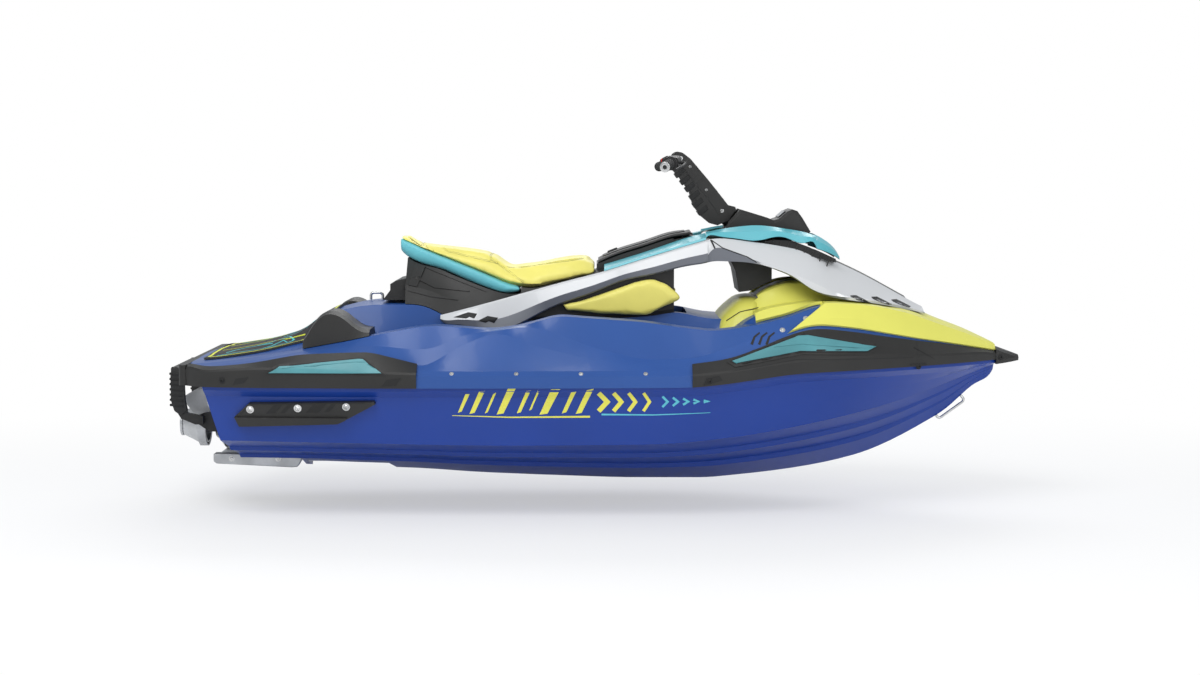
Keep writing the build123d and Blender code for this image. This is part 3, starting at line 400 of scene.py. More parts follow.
def hit(tree, rays, u, v):
    """Where the ray meets the surface, or the nearest place to a ray that misses, and the normal there."""
    origin, direction = rays(u, v)
    place, normal, _, _ = tree.ray_cast(origin, direction)
    if place is None:
        place, normal, _, _ = tree.find_nearest(origin + direction * MISSED_RAY)
    if normal.dot(direction) > 0:
        normal = -normal
    return place, normal


def gridded(outline, step):
    """A flat patch cut into small cells so that it can bend."""
    bm = bmesh.new()
    bm.faces.new([bm.verts.new((u, v, 0)) for u, v in outline])
    bmesh.ops.triangulate(bm, faces=bm.faces[:])
    for axis in (0, 1):
        values = [p[axis] for p in outline]
        low, high = min(values), max(values)
        cells = int((high - low) / step) + 1
        for i in range(1, cells):
            place, normal = Vector(), Vector()
            place[axis], normal[axis] = low + (high - low) * i / cells, 1
            geometry = bm.verts[:] + bm.edges[:] + bm.faces[:]
            bmesh.ops.bisect_plane(bm, geom=geometry, plane_co=place, plane_no=normal)
    return bm


def laid(bm, tree, rays, lift):
    """Drops a flat patch on the surface along the rays, then lifts it off and gives it sides."""
    for vert in bm.verts:
        vert.co = hit(tree, rays, vert.co.x, vert.co.y)[0]
    bm.normal_update()
    direction = rays(0, 0)[1]
    for face in bm.faces:
        if face.normal.dot(direction) > 0:
            face.normal_flip()
    bm.normal_update()
    lifted = {vert: vert.co + vert.normal * lift for vert in bm.verts}
    rim = [e for e in bm.edges if e.is_boundary]
    made = bmesh.ops.extrude_edge_only(bm, edges=rim)["geom"]
    outer = {v for v in made if isinstance(v, bmesh.types.BMVert)}
    for vert, place in lifted.items():
        vert.co = place
    for vert in outer:
        vert.co -= vert.normal * SKIRT
    return bm


def finish_mesh(name, bm, material, body="craft", sharp_deg=35):
    """Turns a bmesh into a piece that rides a body and takes a material."""
    mesh = bpy.data.meshes.new(name)
    bm.to_mesh(mesh)
    bm.free()
    mesh.shade_smooth()
    mesh.set_sharp_from_angle(angle=math.radians(sharp_deg))
    piece = bpy.data.objects.new(name, mesh)
    bpy.context.scene.collection.objects.link(piece)
    mesh.materials.append(MATERIALS[material])
    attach(piece, body)
    return piece


def join(parts):
    """One bmesh from many."""
    whole = bmesh.new()
    for part in parts:
        mesh = bpy.data.meshes.new("part")
        part.to_mesh(mesh)
        part.free()
        whole.from_mesh(mesh)
        bpy.data.meshes.remove(mesh)
    return whole


def drape(name, outlines, tree, rays, material, lift, step=0.012, body="craft"):
    """Flat outlines laid on a surface as one piece, in cells of about one step."""
    patches = [laid(gridded(outline, step), tree, rays, lift) for outline in outlines]
    return finish_mesh(name, join(patches), material, body)


def both_drape(name, outlines, tree, material, lift, step=0.012, body="craft"):
    """The same side outlines on the left and on the right, as one piece."""
    patches = [laid(gridded(outline, step), tree, from_side(side), lift)
               for side in SIDES for outline in outlines]
    return finish_mesh(name, join(patches), material, body)


def stripe(points, width, end_width=None):
    """An outline round an open line, as wide as stated at its start and end."""
    end_width = width if end_width is None else end_width
    left, right = [], []
    for i, point in enumerate(points):
        ahead = Vector(points[min(i + 1, len(points) - 1)])
        behind = Vector(points[max(i - 1, 0)])
        along = (ahead - behind).normalized()
        half = 0.5 * (width + (end_width - width) * i / (len(points) - 1))
        turn = 1.0
        if 0 < i < len(points) - 1:
            leg = (Vector(point) - behind).normalized()
            turn = max(STEEPEST_MITRE, along.dot(leg))
        across = Vector((-along.y, along.x)) * half / turn
        left.append(tuple(Vector(point) + across))
        right.append(tuple(Vector(point) - across))
    return left + right[::-1]


def circle(sides):
    return [2 * math.pi * i / sides for i in range(sides)]


def lathed(profile, sides):
    """Turns (radius, height) points about Z into a closed bmesh."""
    bm = bmesh.new()
    rings = []
    for radius, height in profile:
        if radius < 1e-6:
            rings.append([bm.verts.new((0, 0, height))])
        else:
            rings.append([bm.verts.new((radius * math.cos(a), radius * math.sin(a), height))
                          for a in circle(sides)])
    for low, high in zip(rings, rings[1:]):
        for i in range(sides):
            j = (i + 1) % sides
            corners = [low[i % len(low)], low[j % len(low)], high[j % len(high)], high[i % len(high)]]
            unique = list(dict.fromkeys(corners))
            if len(unique) > 2:
                bm.faces.new(unique)
    return bm


def placed(bm, place, normal):
    """Stands the bmesh's Z axis on a normal."""
    turn = Vector(normal).to_track_quat("Z", "Y").to_matrix().to_4x4()
    turn.translation = place
    bm.transform(turn)
    return bm


def bolt(radius):
    """A washer under a domed head with a round socket."""
    profile = [(0, 0.18), (0.36, 0.18), (0.42, 0.62), (0.62, 0.62), (0.84, 0.42), (0.88, 0.2), (1.3, 0.18),
               (1.36, 0.08), (1.36, -0.15)]
    return lathed([(across * radius, up * radius) for across, up in profile], 18)


def bolts_at(name, spots, radius, material="bolt_steel", body="craft"):
    bolts = [placed(bolt(radius), place, normal) for place, normal in spots]
    return finish_mesh(name, join(bolts), material, body)


def side_spots(tree, points):
    return [hit(tree, from_side(side), x, z) for side in SIDES for x, z in points]


def tube(points, radius, sides):
    """A round tube with closed ends along points, as a bmesh."""
    bm = bmesh.new()
    points = [Vector(p) for p in points]
    rings, across = [], None
    for i, point in enumerate(points):
        ahead, behind = points[min(i + 1, len(points) - 1)], points[max(i - 1, 0)]
        along = (ahead - behind).normalized()
        if across is None:
            across = along.orthogonal().normalized()
        across = (across - along * across.dot(along)).normalized()
        up = along.cross(across)
        rings.append([bm.verts.new(point + (across * math.cos(a) + up * math.sin(a)) * radius)
                      for a in circle(sides)])
    for low, high in zip(rings, rings[1:]):
        for k in range(sides):
            bm.faces.new([low[k], low[(k + 1) % sides], high[(k + 1) % sides], high[k]])
    bm.faces.new(rings[0][::-1])
    bm.faces.new(rings[-1])
    return bm


def prism(outline, y0, y1):
    """A side outline of x and z drawn out between two places across the craft."""
    bm = bmesh.new()
    near = [bm.verts.new((x, y0, z)) for x, z in outline]
    far = [bm.verts.new((x, y1, z)) for x, z in outline]
    bm.faces.new(near)
    bm.faces.new(far[::-1])
    for i in range(len(outline)):
        j = (i + 1) % len(outline)
        bm.faces.new([near[j], near[i], far[i], far[j]])
    bmesh.ops.recalc_face_normals(bm, faces=bm.faces[:])
    return bm


def both_prisms(outlines, y0, y1):
    return join([prism(outline, side * y0, side * y1) for side in SIDES for outline in outlines])


def skinned(sections):
    """A closed skin over rows of points, each row open at its foot."""
    bm = bmesh.new()
    rows = [[bm.verts.new(p) for p in section] for section in sections]
    for low, high in zip(rows, rows[1:]):
        for i in range(len(low) - 1):
            bm.faces.new([low[i], low[i + 1], high[i + 1], high[i]])
    bm.faces.new(rows[0][::-1])
    bm.faces.new(rows[-1])
    bmesh.ops.recalc_face_normals(bm, faces=bm.faces[:])
    return bm


def rounded(piece, width):
    """Rounds the piece's sharper edges."""
    add_modifier(piece, "BEVEL", width=width, segments=2, limit_method="ANGLE", angle_limit=math.radians(28))


def spread(points, pitch):
    """Points at an even pitch along a line."""
    points = [Vector(p) for p in points]
    out = [points[0]]
    for a, b in zip(points, points[1:]):
        steps = max(1, round((b - a).length / pitch))
        out += [a.lerp(b, i / steps) for i in range(1, steps + 1)]
    return out


def dress_nodes():
    """Every carried-over CAD node takes its slot's material, and the levers are black."""
    slots = {part["node"]: part["material_slot"] for part in frame["record"]["subparts"]}
    for name, node in NODES.items():
        material = "recess_black" if name.startswith("lever") else slots[name]
        node.data.materials.clear()
        node.data.materials.append(MATERIALS[material])


# Soft goods

def copied(name, *nodes):
    """One new object with the meshes of these CAD nodes."""
    verts, faces = [], []
    for node in nodes:
        mesh = NODES[node].data
        start = len(verts)
        verts += [v.co.copy() for v in mesh.vertices]
        faces += [[start + i for i in p.vertices] for p in mesh.polygons]
    mesh = bpy.data.meshes.new(name)
    mesh.from_pydata(verts, [], faces)
    piece = bpy.data.objects.new(name, mesh)
    bpy.context.scene.collection.objects.link(piece)
    return piece


def settle(piece, name):
    """Replaces the piece's mesh with what its modifiers make of it."""
    bpy.context.view_layer.update()
    graph = bpy.context.evaluated_depsgraph_get()
    mesh = bpy.data.meshes.new_from_object(piece.evaluated_get(graph))
    piece.modifiers.clear()
    old = piece.data
    piece.data = mesh
    mesh.name = name
    bpy.data.meshes.remove(old)


def add_modifier(piece, kind, **values):
    modifier = piece.modifiers.new(kind.lower(), kind)
    for key, value in values.items():
        setattr(modifier, key, value)
    return modifier


def inflate(piece, name, cap):
    """Blows the skin up as cloth, without gravity, and keeps each point within cap of its start."""
    rest = [v.co.copy() for v in piece.data.vertices]
    cloth = add_modifier(piece, "CLOTH")
    settings = cloth.settings
    settings.use_pressure = True
    settings.uniform_pressure_force = PRESSURE
    settings.effector_weights.gravity = 0
    settings.quality = CLOTH_QUALITY
    settings.mass = CLOTH_MASS
    settings.tension_stiffness = settings.compression_stiffness = CLOTH_STIFFNESS
    settings.bending_stiffness = CLOTH_BENDING
    cloth.point_cache.frame_start, cloth.point_cache.frame_end = 1, CLOTH_FRAMES
    for frame_number in range(1, CLOTH_FRAMES + 1):
        bpy.context.scene.frame_set(frame_number)
    settle(piece, name)
    bpy.context.scene.frame_set(1)
    for vert, start in zip(piece.data.vertices, rest):
        move = vert.co - start
        if move.length > cap:
            vert.co = start + move.normalized() * cap


def cushion(name, nodes, voxel, shrink, cap, material, body, smooth=8):
    """A padded piece grown from its CAD solid: remeshed, drawn in, then blown up and rounded."""
    piece = copied(name, *nodes)
    add_modifier(piece, "REMESH", mode="VOXEL", voxel_size=voxel)
    settle(piece, name)
    add_modifier(piece, "SMOOTH", factor=0.5, iterations=smooth)
    add_modifier(piece, "DISPLACE", strength=-shrink, mid_level=0.0)
    settle(piece, name)
    inflate(piece, name, cap)
    add_modifier(piece, "SMOOTH", factor=0.5, iterations=4)
    settle(piece, name)
    piece.data.shade_smooth()
    piece.data.materials.clear()
    piece.data.materials.append(MATERIALS[material])
    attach(piece, body)
    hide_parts(*nodes)
    return piece


def refine(piece, name):
    """Subdivides a finished skin once."""
    add_modifier(piece, "SUBSURF", levels=1, render_levels=1)
    settle(piece, name)
    piece.data.shade_smooth()


def tree_of(piece):
    mesh = piece.data
    return BVHTree.FromPolygons([v.co for v in mesh.vertices], [p.vertices for p in mesh.polygons])


def sewn(piece, lines, depth, width):
    """Presses a groove into the skin along each line."""
    pitch, reach = 0.004, 2.5 * width
    points = [p for line in lines for p in spread(line, pitch)]
    near = KDTree(len(points))
    for i, point in enumerate(points):
        near.insert(point, i)
    near.balance()
    normals = [v.normal.copy() for v in piece.data.vertices]
    for vert, normal in zip(piece.data.vertices, normals):
        distance = near.find(vert.co)[2]
        if distance < reach:
            vert.co -= normal * depth * math.exp(-(distance / width) ** 2)


def seam_lines(tree, side_points, across=False):
    """A side seam on both flanks; across joins its top ends over the piece."""
    dense = spread([(x, 0, z) for x, z in side_points], 0.006)
    lines = [[hit(tree, from_side(side), p.x, p.z)[0] for p in dense] for side in SIDES]
    if across:
        y0, y1 = lines[0][0].y, lines[1][0].y
        x = side_points[0][0]
        lines.append([hit(tree, from_above, x, y0 + (y1 - y0) * i / 30)[0] for i in range(31)])
    return lines


def threads(name, lines, tree, radius, sink):
    """Cords along the lines, sunk a little into the skin."""
    parts = []
    for line in lines:
        inner = []
        for point in line:
            place, normal, _, _ = tree.find_nearest(point)
            inner.append(place - normal * sink)
        parts.append(tube(inner, radius, 6))
    finish_mesh(name, join(parts), "seam_thread", "saddle")


def stitches(name, lines, tree, offset, pitch=0.0075, length=0.0048):
    """Rows of short stitches beside a seam."""
    thread, sunk, proud = 0.0006, 0.0004, 0.0005
    parts = []
    for line in lines:
        dense = spread(line, pitch)
        for a, b in zip(dense, dense[1:]):
            along = (b - a).normalized()
            place, normal, _, _ = tree.find_nearest(a)
            across = normal.cross(along).normalized() * offset
            centre, normal, _, _ = tree.find_nearest(place + across)
            start = centre - along * length * 0.5 - normal * sunk
            end = centre + along * length * 0.5 - normal * sunk
            parts.append(tube([start, centre + normal * proud, end], thread, 5))
    finish_mesh(name, join(parts), "seam_thread", "saddle")


def make_saddle():
    top = cushion("saddle_skin", ["seat_cushion"], voxel=0.007, shrink=0.003, cap=0.006,
                  material="seat_vinyl", body="saddle")
    cushion("saddle_band_skin", ["seat_side_band"], voxel=0.007, shrink=0.002, cap=0.004,
            material="band_vinyl", body="saddle", smooth=5)
    tree = tree_of(top)
    seams = seam_lines(tree, [(-0.386, 0.572), (-0.345, 0.545), (-0.300, 0.512), (-0.262, 0.484)], True)
    seams += seam_lines(tree, [(-0.318, 0.540), (-0.27, 0.541), (-0.16, 0.557), (-0.045, 0.572)])
    seams += seam_lines(tree, [(-0.560, 0.608), (-0.545, 0.598), (-0.46, 0.578), (-0.352, 0.553)])
    seams += seam_lines(tree, [(-0.640, 0.632), (-0.612, 0.600)], True)
    sewn(top, seams, depth=0.0035, width=0.0055)
    tree = tree_of(top)
    threads("saddle_seam_cord", seams, tree, radius=0.0011, sink=0.0004)
    stitches("saddle_stitching", seams, tree, offset=0.0055)
    refine(top, "saddle_skin")


def make_knee_pads():
    for name in ("knee_pad_left", "knee_pad_right"):
        pad = cushion(name + "_skin", [name], voxel=0.006, shrink=0.003, cap=0.006,
                      material="seat_vinyl", body="craft", smooth=6)
        refine(pad, name + "_skin")


# Hull and deck details

def make_hull_motif():
    """A generic band of slanted strokes and chevrons along the hull's side."""
    hull = surface("hull")
    strokes = []
    for i, (x, low, high, width) in enumerate([
            (-0.48, 0.052, 0.12, 0.018), (-0.44, 0.048, 0.132, 0.026), (-0.386, 0.05, 0.126, 0.014),
            (-0.345, 0.046, 0.14, 0.034), (-0.275, 0.05, 0.134, 0.02), (-0.232, 0.06, 0.142, 0.012),
            (-0.196, 0.045, 0.138, 0.04), (-0.118, 0.05, 0.13, 0.022), (-0.07, 0.048, 0.14, 0.03)]):
        lean = 0.36 * (high - low)
        strokes.append([(x, low), (x + width * 0.7, low + 0.004), (x + width + lean, high),
                        (x + lean + width * 0.2, high - 0.003 * (i % 3))])
    strokes.append(stripe([(-0.5, 0.042), (-0.3, 0.036), (-0.02, 0.038)], 0.002, 0.007))
    for i in range(4):
        x, reach = 0.01 + 0.052 * i, 0.03 - 0.003 * i
        strokes.append(stripe([(x, 0.124), (x + reach, 0.091), (x, 0.058)], 0.017 - 0.002 * i))
    both_drape("hull_strokes", strokes, hull, "decal_yellow", lift=0.0006)
    chevrons = []
    for i in range(5):
        x = 0.232 + 0.036 * i
        chevrons.append(stripe([(x, 0.11 - 0.004 * i), (x + 0.018, 0.091), (x, 0.072 + 0.004 * i)], 0.008))
    chevrons.append(stripe([(0.02, 0.046), (0.2, 0.044), (0.4, 0.05)], 0.006, 0.002))
    both_drape("hull_chevrons", chevrons, hull, "decal_cyan", lift=0.0006)


def make_deck_vents():
    """Slits in the deck and vents in the arms and the hood's shells, all near-black patches of painted shade,
    and the shells' seams.
    """
    slit = [(0.545, 0.286), (0.556, 0.312), (0.575, 0.326)]
    # The slits are near-black patches: painted shade of the deck's recesses.
    slits = [stripe([(x + 0.026 * i, z) for x, z in slit], 0.009, 0.005) for i in range(3)]
    both_drape("deck_gill_slit_shade", slits, surface("deck"), "recess_black", lift=0.0007, step=0.006)
    arm = surface("rear_arm_left", "rear_arm_right")
    # The arms' vents are near-black patches: painted shade in the vent openings.
    for number, outline in enumerate([
            [(-0.512, 0.365), (-0.46, 0.383), (-0.428, 0.378), (-0.438, 0.361), (-0.456, 0.367),
             (-0.466, 0.361)],
            [(-0.424, 0.353), (-0.39, 0.37), (-0.352, 0.364), (-0.366, 0.345), (-0.385, 0.352),
             (-0.397, 0.346)]]):
        both_drape(f"arm_vent_shade_{number}", [outline], arm, "recess_black", lift=0.001, step=0.006)
    shells = surface("front_shell_left", "front_shell_right")
    vent = [(0.9132, 0.4444), (0.9351, 0.444), (0.9556, 0.4339), (0.9869, 0.4182), (0.976, 0.4165),
            (0.945, 0.4262), (0.929, 0.433), (0.918, 0.4385)]
    cell = [(0.93, 0.436), (0.945, 0.4302), (0.966, 0.4205), (0.944, 0.4272)]
    vents, cells = ([[(x + dx, z + dz) for x, z in outline]
                     for dx, dz in ((0, 0), (0.0816, -0.0082), (0.161, -0.0212))] for outline in (vent, cell))
    # The hood's vents are near-black patches: painted shade in the vent openings.
    both_drape("hood_vent_shade", vents, shells, "recess_black", lift=0.0014, step=0.006)
    both_drape("hood_vent_cells", cells, shells, "shell_grey", lift=0.002, step=0.006)
    seam = stripe([(0.4071, 0.648), (0.4548, 0.6146), (0.5419, 0.5833), (0.5706, 0.5676), (0.59, 0.545)],
                  0.0032)
    both_drape("shell_seams", [seam], shells, "recess_black", lift=0.0007, step=0.006)


def make_bolts():
    rub_band = [(-0.499 + 0.224 * i, 0.191) for i in range(4)]
    bolts_at("rub_band_bolts", side_spots(surface("hull", "deck"), rub_band), 0.006)
    deck = [(0.475, 0.374), (0.661, 0.385), (0.74, 0.372), (0.655, 0.334)]
    bolts_at("deck_bolts", side_spots(surface("deck"), deck), 0.0075)
    bumpers = surface("bow_bumper_left", "bow_bumper_right", "nose_bumper", "stern_bumper")
    spots = side_spots(bumpers, [(0.395, 0.166), (1.15, 0.192), (1.49, 0.205), (-1.3, 0.165)])
    bolts_at("bumper_bolts", spots, 0.0085, "recess_black")
    eyes = surface("stern_eye_left", "stern_eye_right")
    spots = [hit(eyes, from_stern, side * 0.3 + dy, z)
             for side in SIDES for dy, z in ((0.01, 0.095), (-0.01, 0.041))]
    bolts_at("stern_eye_bolts", spots, 0.0045)


def make_inserts():
    """Faceted bright inserts in grooves darkened with painted shade, laid over the bumpers' plain ones."""
    bumpers = surface("bow_bumper_left", "bow_insert_left", "stern_bumper", "stern_insert_left",
                      "bow_bumper_right", "bow_insert_right", "stern_insert_right", "nose_bumper")
    frames = [[(0.455, 0.228), (0.483, 0.212), (0.716, 0.252), (0.965, 0.244), (1.012, 0.27), (0.93, 0.308),
               (0.85, 0.331), (0.745, 0.334), (0.68, 0.322)],
              [(-1.152, 0.186), (-1.104, 0.2215), (-0.95, 0.244), (-0.822, 0.25), (-0.79, 0.244),
               (-0.722, 0.186)]]
    grooves = [[(0.466, 0.23), (0.484, 0.2195), (0.714, 0.259), (0.958, 0.251), (1.000, 0.27),
                (0.742, 0.3215), (0.703, 0.3185)],
               [(-1.145, 0.189), (-1.101, 0.217), (-0.821, 0.2445), (-0.803, 0.243), (-0.73, 0.189)]]
    bright = [[(0.475, 0.2305), (0.487, 0.2245), (0.714, 0.264), (0.955, 0.256), (0.99, 0.27),
               (0.742, 0.3165), (0.707, 0.314)],
              [(-1.135, 0.1931), (-1.097, 0.2132), (-0.821, 0.2403), (-0.807, 0.2392), (-0.741, 0.1931)]]
    upper = [[(0.62, 0.276), (0.716, 0.286), (0.955, 0.266), (0.985, 0.27), (0.742, 0.314),
              (0.709, 0.312)],
             [(-1.085, 0.208), (-0.835, 0.229), (-0.8, 0.229), (-0.808, 0.237), (-0.821, 0.238)]]
    both_drape("insert_frames", frames, bumpers, "black_plastic", lift=0.0018)
    # The grooves round the inserts are near-black patches: painted shade.
    both_drape("insert_groove_shade", grooves, bumpers, "recess_black", lift=0.0026)
    inserts = both_drape("bright_inserts", bright, bumpers, "teal_insert", lift=0.005, step=0.02)
    rounded(inserts, 0.0022)
    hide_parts("bow_insert_left", "bow_insert_right", "stern_insert_left", "stern_insert_right")
    rounded(both_drape("bright_insert_facets", upper, bumpers, "teal_insert", lift=0.0068, step=0.02), 0.0018)


def make_grille():
    """Near-black panels of painted shade, with black slats, between the hood's trim and its silver shells."""
    outline = [(0.56, 0.612), (0.582, 0.63), (0.64, 0.642), (0.701, 0.64), (0.8, 0.604), (0.868, 0.573),
               (0.868, 0.56), (0.75, 0.588), (0.64, 0.603)]
    # The panels behind the slats are painted shade in the gap.
    finish_mesh("grille_gap_shade", both_prisms([outline], 0.12, 0.182), "recess_black")
    slats = []
    for i in range(9):
        x = 0.6 + 0.029 * i
        top = 0.64 - max(0.0, x - 0.68) * 0.4
        slats.append([(x, top - 0.036), (x + 0.004, top - 0.036), (x + 0.016, top), (x + 0.012, top)])
    slats = both_prisms(slats, 0.181, 0.185)
    rounded(finish_mesh("grille_slats", slats, "black_plastic"), 0.0008)


def make_step_covers():
    """Ribbed rubber covers on the outer faces of the boarding step's arms."""
    outline = [(-1.48, 0.022), (-1.488, 0.06), (-1.492, 0.16), (-1.505, 0.177), (-1.537, 0.18),
               (-1.542, 0.15), (-1.542, 0.06), (-1.53, 0.022), (-1.506, 0.004)]
    inner = min(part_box("boarding_step")[1].y, 0.215)
    covers = both_prisms([outline], inner - 0.01, inner + 0.004)
    rounded(finish_mesh("step_covers", covers, "grip_rubber", "step"), 0.004)
    ribs = [[(-1.545, z), (-1.545, z + 0.008), (-1.496, z + 0.004), (-1.496, z - 0.004)]
            for z in [0.04 + 0.019 * i for i in range(7)]]
    ribs = both_prisms(ribs, inner - 0.011, inner + 0.0065)
    rounded(finish_mesh("step_cover_ribs", ribs, "recess_black", "step"), 0.0015)


def make_bumper_marks():
    """Parting lines, and pressed marks as near-black patches of painted shade, on the bumpers."""
    bumpers = surface("bow_bumper_left", "bow_bumper_right", "nose_bumper", "stern_bumper")
    marks = [[(-1.262, 0.15), (-1.25, 0.172), (-1.205, 0.178), (-1.222, 0.156)],
             [(-0.742, 0.148), (-0.722, 0.172), (-0.672, 0.178), (-0.692, 0.15)],
             [(0.372, 0.15), (0.382, 0.176), (0.428, 0.186), (0.44, 0.168)],
             [(1.118, 0.184), (1.12, 0.206), (1.18, 0.208), (1.192, 0.186)]]
    # The pressed marks are near-black patches: painted shade in place of recesses.
    both_drape("bumper_marks", marks, bumpers, "recess_black", lift=0.0009, step=0.008)
    seams = [stripe([(1.136, 0.262), (1.176, 0.24), (1.215, 0.217)], 0.0028),
             stripe([(0.47, 0.2), (0.7, 0.236), (0.86, 0.232), (1.13, 0.228)], 0.0022)]
    both_drape("bumper_parting_lines", seams, bumpers, "recess_black", lift=0.0006, step=0.008)


def mat_edge(tree, x):
    """The mat's half width at x, found by halving."""
    low, high = 0.02, 0.6
    for _ in range(18):
        middle = 0.5 * (low + high)
        if tree.ray_cast(*from_above(x, middle))[0]:
            low = middle
        else:
            high = middle
    return low


def on_side(side, points, width, end_width=None):
    """A stripe along points of the left half, on this side."""
    return stripe([(x, side * y) for x, y in points], width, end_width)


def make_mat_motif():
    """Generic lines on the mats: a lime border and slanted cyan strokes."""
    mat = surface("rear_mat")
    border = 0.014
    xs = [-1.385 + 0.02 * i for i in range(17)] + [-1.046]
    edge = [(x, mat_edge(mat, x) - border) for x in xs]
    front_y = mat_edge(mat, -1.0) - border
    outer = [(-1.388, 0), (-1.388, edge[0][1] - 0.02), *edge[1:], (-1.03, front_y),
             (-0.956, front_y - 0.01), (-0.952, 0)]
    lime = [(outer, 0.009),
            ([(-1.05, front_y * 0.98), (-1.12, front_y * 0.9), (-1.2, 0.12), (-1.37, 0.09)], 0.005, 0.003)]
    cyan = [([(-1.36, 0.28), (-1.3, 0.24), (-1.16, 0.27), (-1.09, 0.22), (-1.13, 0.15),
              (-1.23, 0.17)], 0.006),
            ([(-1.34, 0.2), (-1.27, 0.16), (-1.17, 0.2)], 0.0045),
            ([(-1.2, 0.235), (-1.13, 0.2), (-1.1, 0.25)], 0.0045),
            ([(-1.02, 0.05), (-1.06, 0.13), (-1.15, 0.06)], 0.004)]
    well = [([(-0.6, 0.3), (0.21, 0.3)], 0.004)]
    for i in range(7):
        x = -0.52 + 0.1 * i
        well.append(([(x, 0.262), (x + 0.035, 0.3), (x, 0.338)], 0.005))
    wells = surface("well_mat_left", "well_mat_right")
    for name, lines, tree, material in (("mat_lime_lines", lime, mat, "lime_line"),
                                        ("mat_cyan_lines", cyan, mat, "cyan_line"),
                                        ("well_mat_lines", well, wells, "cyan_line")):
        stripes = [on_side(side, *line) for side in SIDES for line in lines]
        drape(name, stripes, tree, from_above, material, lift=0.0008)


def make_sponsons():
    """Bolted fins with a ledge along the foot and a slanted front end, in place of the plain solids."""
    hull = surface("hull")
    body = [(-1.257, 0.041), (-1.208, 0.087), (-0.77, 0.096), (-0.765, 0.087), (-0.861, 0.035),
            (-0.896, 0.021), (-1.243, 0.009)]
    ledge = [(-1.259, 0.04), (-0.862, 0.04), (-0.87, 0.031), (-0.896, 0.019), (-1.243, 0.007)]
    patches = [laid(gridded(outline, 0.012), hull, from_side(side), lift)
               for side in SIDES for outline, lift in ((body, 0.021), (ledge, 0.03))]
    fins = finish_mesh("sponson_fins", join(patches), "black_plastic")
    rounded(fins, 0.003)
    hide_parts("sponson_left", "sponson_right")
    tree = tree_of(fins)
    panels = [[(-1.15, 0.048), (-1.118, 0.082), (-1.085, 0.084), (-1.117, 0.05)],
              [(-1.1, 0.05), (-1.068, 0.084), (-1.052, 0.084), (-1.084, 0.05)],
              [(-1.01, 0.052), (-0.978, 0.086), (-0.93, 0.088), (-0.962, 0.054)],
              [(-0.945, 0.055), (-0.913, 0.089), (-0.895, 0.09), (-0.927, 0.056)]]
    both_drape("sponson_panels", panels, tree, "recess_black", lift=0.0008, step=0.01)
    edge = stripe([(-1.24, 0.046), (-1.203, 0.08), (-0.8, 0.088)], 0.0025)
    both_drape("sponson_edge_lines", [edge], tree, "recess_black", lift=0.0009, step=0.01)
    bolts_at("sponson_bolts", side_spots(tree, [(-1.205, 0.062), (-1.037, 0.068), (-0.867, 0.074)]), 0.0105)


def make_ride_plate_rails():
    """Deep side rails of the plate under the pump."""
    outline = [(-1.397, -0.14), (-1.397, -0.168), (-1.386, -0.176), (-1.11, -0.19), (-1.09, -0.188),
               (-1.074, -0.16), (-1.078, -0.142)]
    rails = finish_mesh("ride_plate_rails", both_prisms([outline], 0.11, 0.165), "cast_alloy")
    rounded(rails, 0.003)
    spots = [(Vector((x, side * 0.165, -0.158)), Vector((0, side, 0))) for side in SIDES
             for x in (-1.33, -1.16)]
    bolts_at("ride_plate_bolts", spots, 0.008)


def make_console_fairing():
    """The bright moulding that runs from the bow deck back under the console's arch."""
    sections = []
    for x, top, foot in ((0.443, 0.348, 0.265), (0.45, 0.366, 0.276), (0.475, 0.392, 0.305),
                         (0.5, 0.413, 0.325), (0.522, 0.43, 0.34), (0.56, 0.434, 0.368),
                         (0.6, 0.436, 0.38)):
        half = [(0.262, foot), (0.238, foot + 0.45 * (top - foot)), (0.212, top - 0.012),
                (0.15, top - 0.002)]
        sections.append([(x, -y, z) for y, z in half] + [(x, 0, top)] + [(x, y, z) for y, z in half[::-1]])
    fairing = finish_mesh("console_fairing", skinned(sections), "bow_gelcoat", sharp_deg=60)
    add_modifier(fairing, "SUBSURF", levels=1, render_levels=1)
    strips = [[(0.59, side * 0.13), (0.83, side * 0.13), (0.83, side * 0.25), (0.59, side * 0.25)]
              for side in SIDES]
    drape("fairing_shoulders", strips, surface("deck"), from_above, "bow_gelcoat", lift=0.0105)
    tree = tree_of(fairing)
    line = stripe([(0.47, 0.352), (0.52, 0.385), (0.585, 0.4)], 0.0022)
    both_drape("fairing_seams", [line], tree, "recess_black", lift=0.001, step=0.008)


def make_console_details():
    """The lid's panel and latch, a liner that closes the glove box's foot, and ribs on the saddle's base."""
    lid = surface("glovebox_lid")
    panel = [(0.04, -0.085), (0.3, -0.085), (0.325, -0.06), (0.325, 0.06), (0.3, 0.085), (0.04, 0.085),
             (0.025, 0.06), (0.025, -0.06)]
    drape("lid_raised_panel", [panel], lid, from_above, "black_plastic", lift=0.003, step=0.02, body="lid")
    latch = [(0.045, -0.03), (0.08, -0.026), (0.08, 0.026), (0.045, 0.03)]
    piece = drape("lid_latch", [latch], lid, from_above, "recess_black", lift=0.008, step=0.01, body="lid")
    add_modifier(piece, "BEVEL", width=0.0015, segments=2)
    liner = [(0.2785, 0.537), (0.2818, 0.537), (0.2818, 0.5642), (0.33, 0.5662), (0.33, 0.5695),
             (0.2785, 0.5675)]
    finish_mesh("glovebox_liner", prism(liner, -0.112, 0.112), "black_plastic")
    core = surface("console_core", "seat_base")
    ribs = [stripe([(-0.655, 0.505), (-0.585, 0.47), (-0.46, 0.455)], 0.01, 0.005),
            stripe([(-0.7, 0.468), (-0.6, 0.44), (-0.5, 0.425)], 0.01, 0.006),
            stripe([(-0.66, 0.555), (-0.52, 0.5), (-0.4, 0.455)], 0.006, 0.004)]
    both_drape("saddle_base_ribs", ribs, core, "black_plastic", lift=0.003, step=0.01)


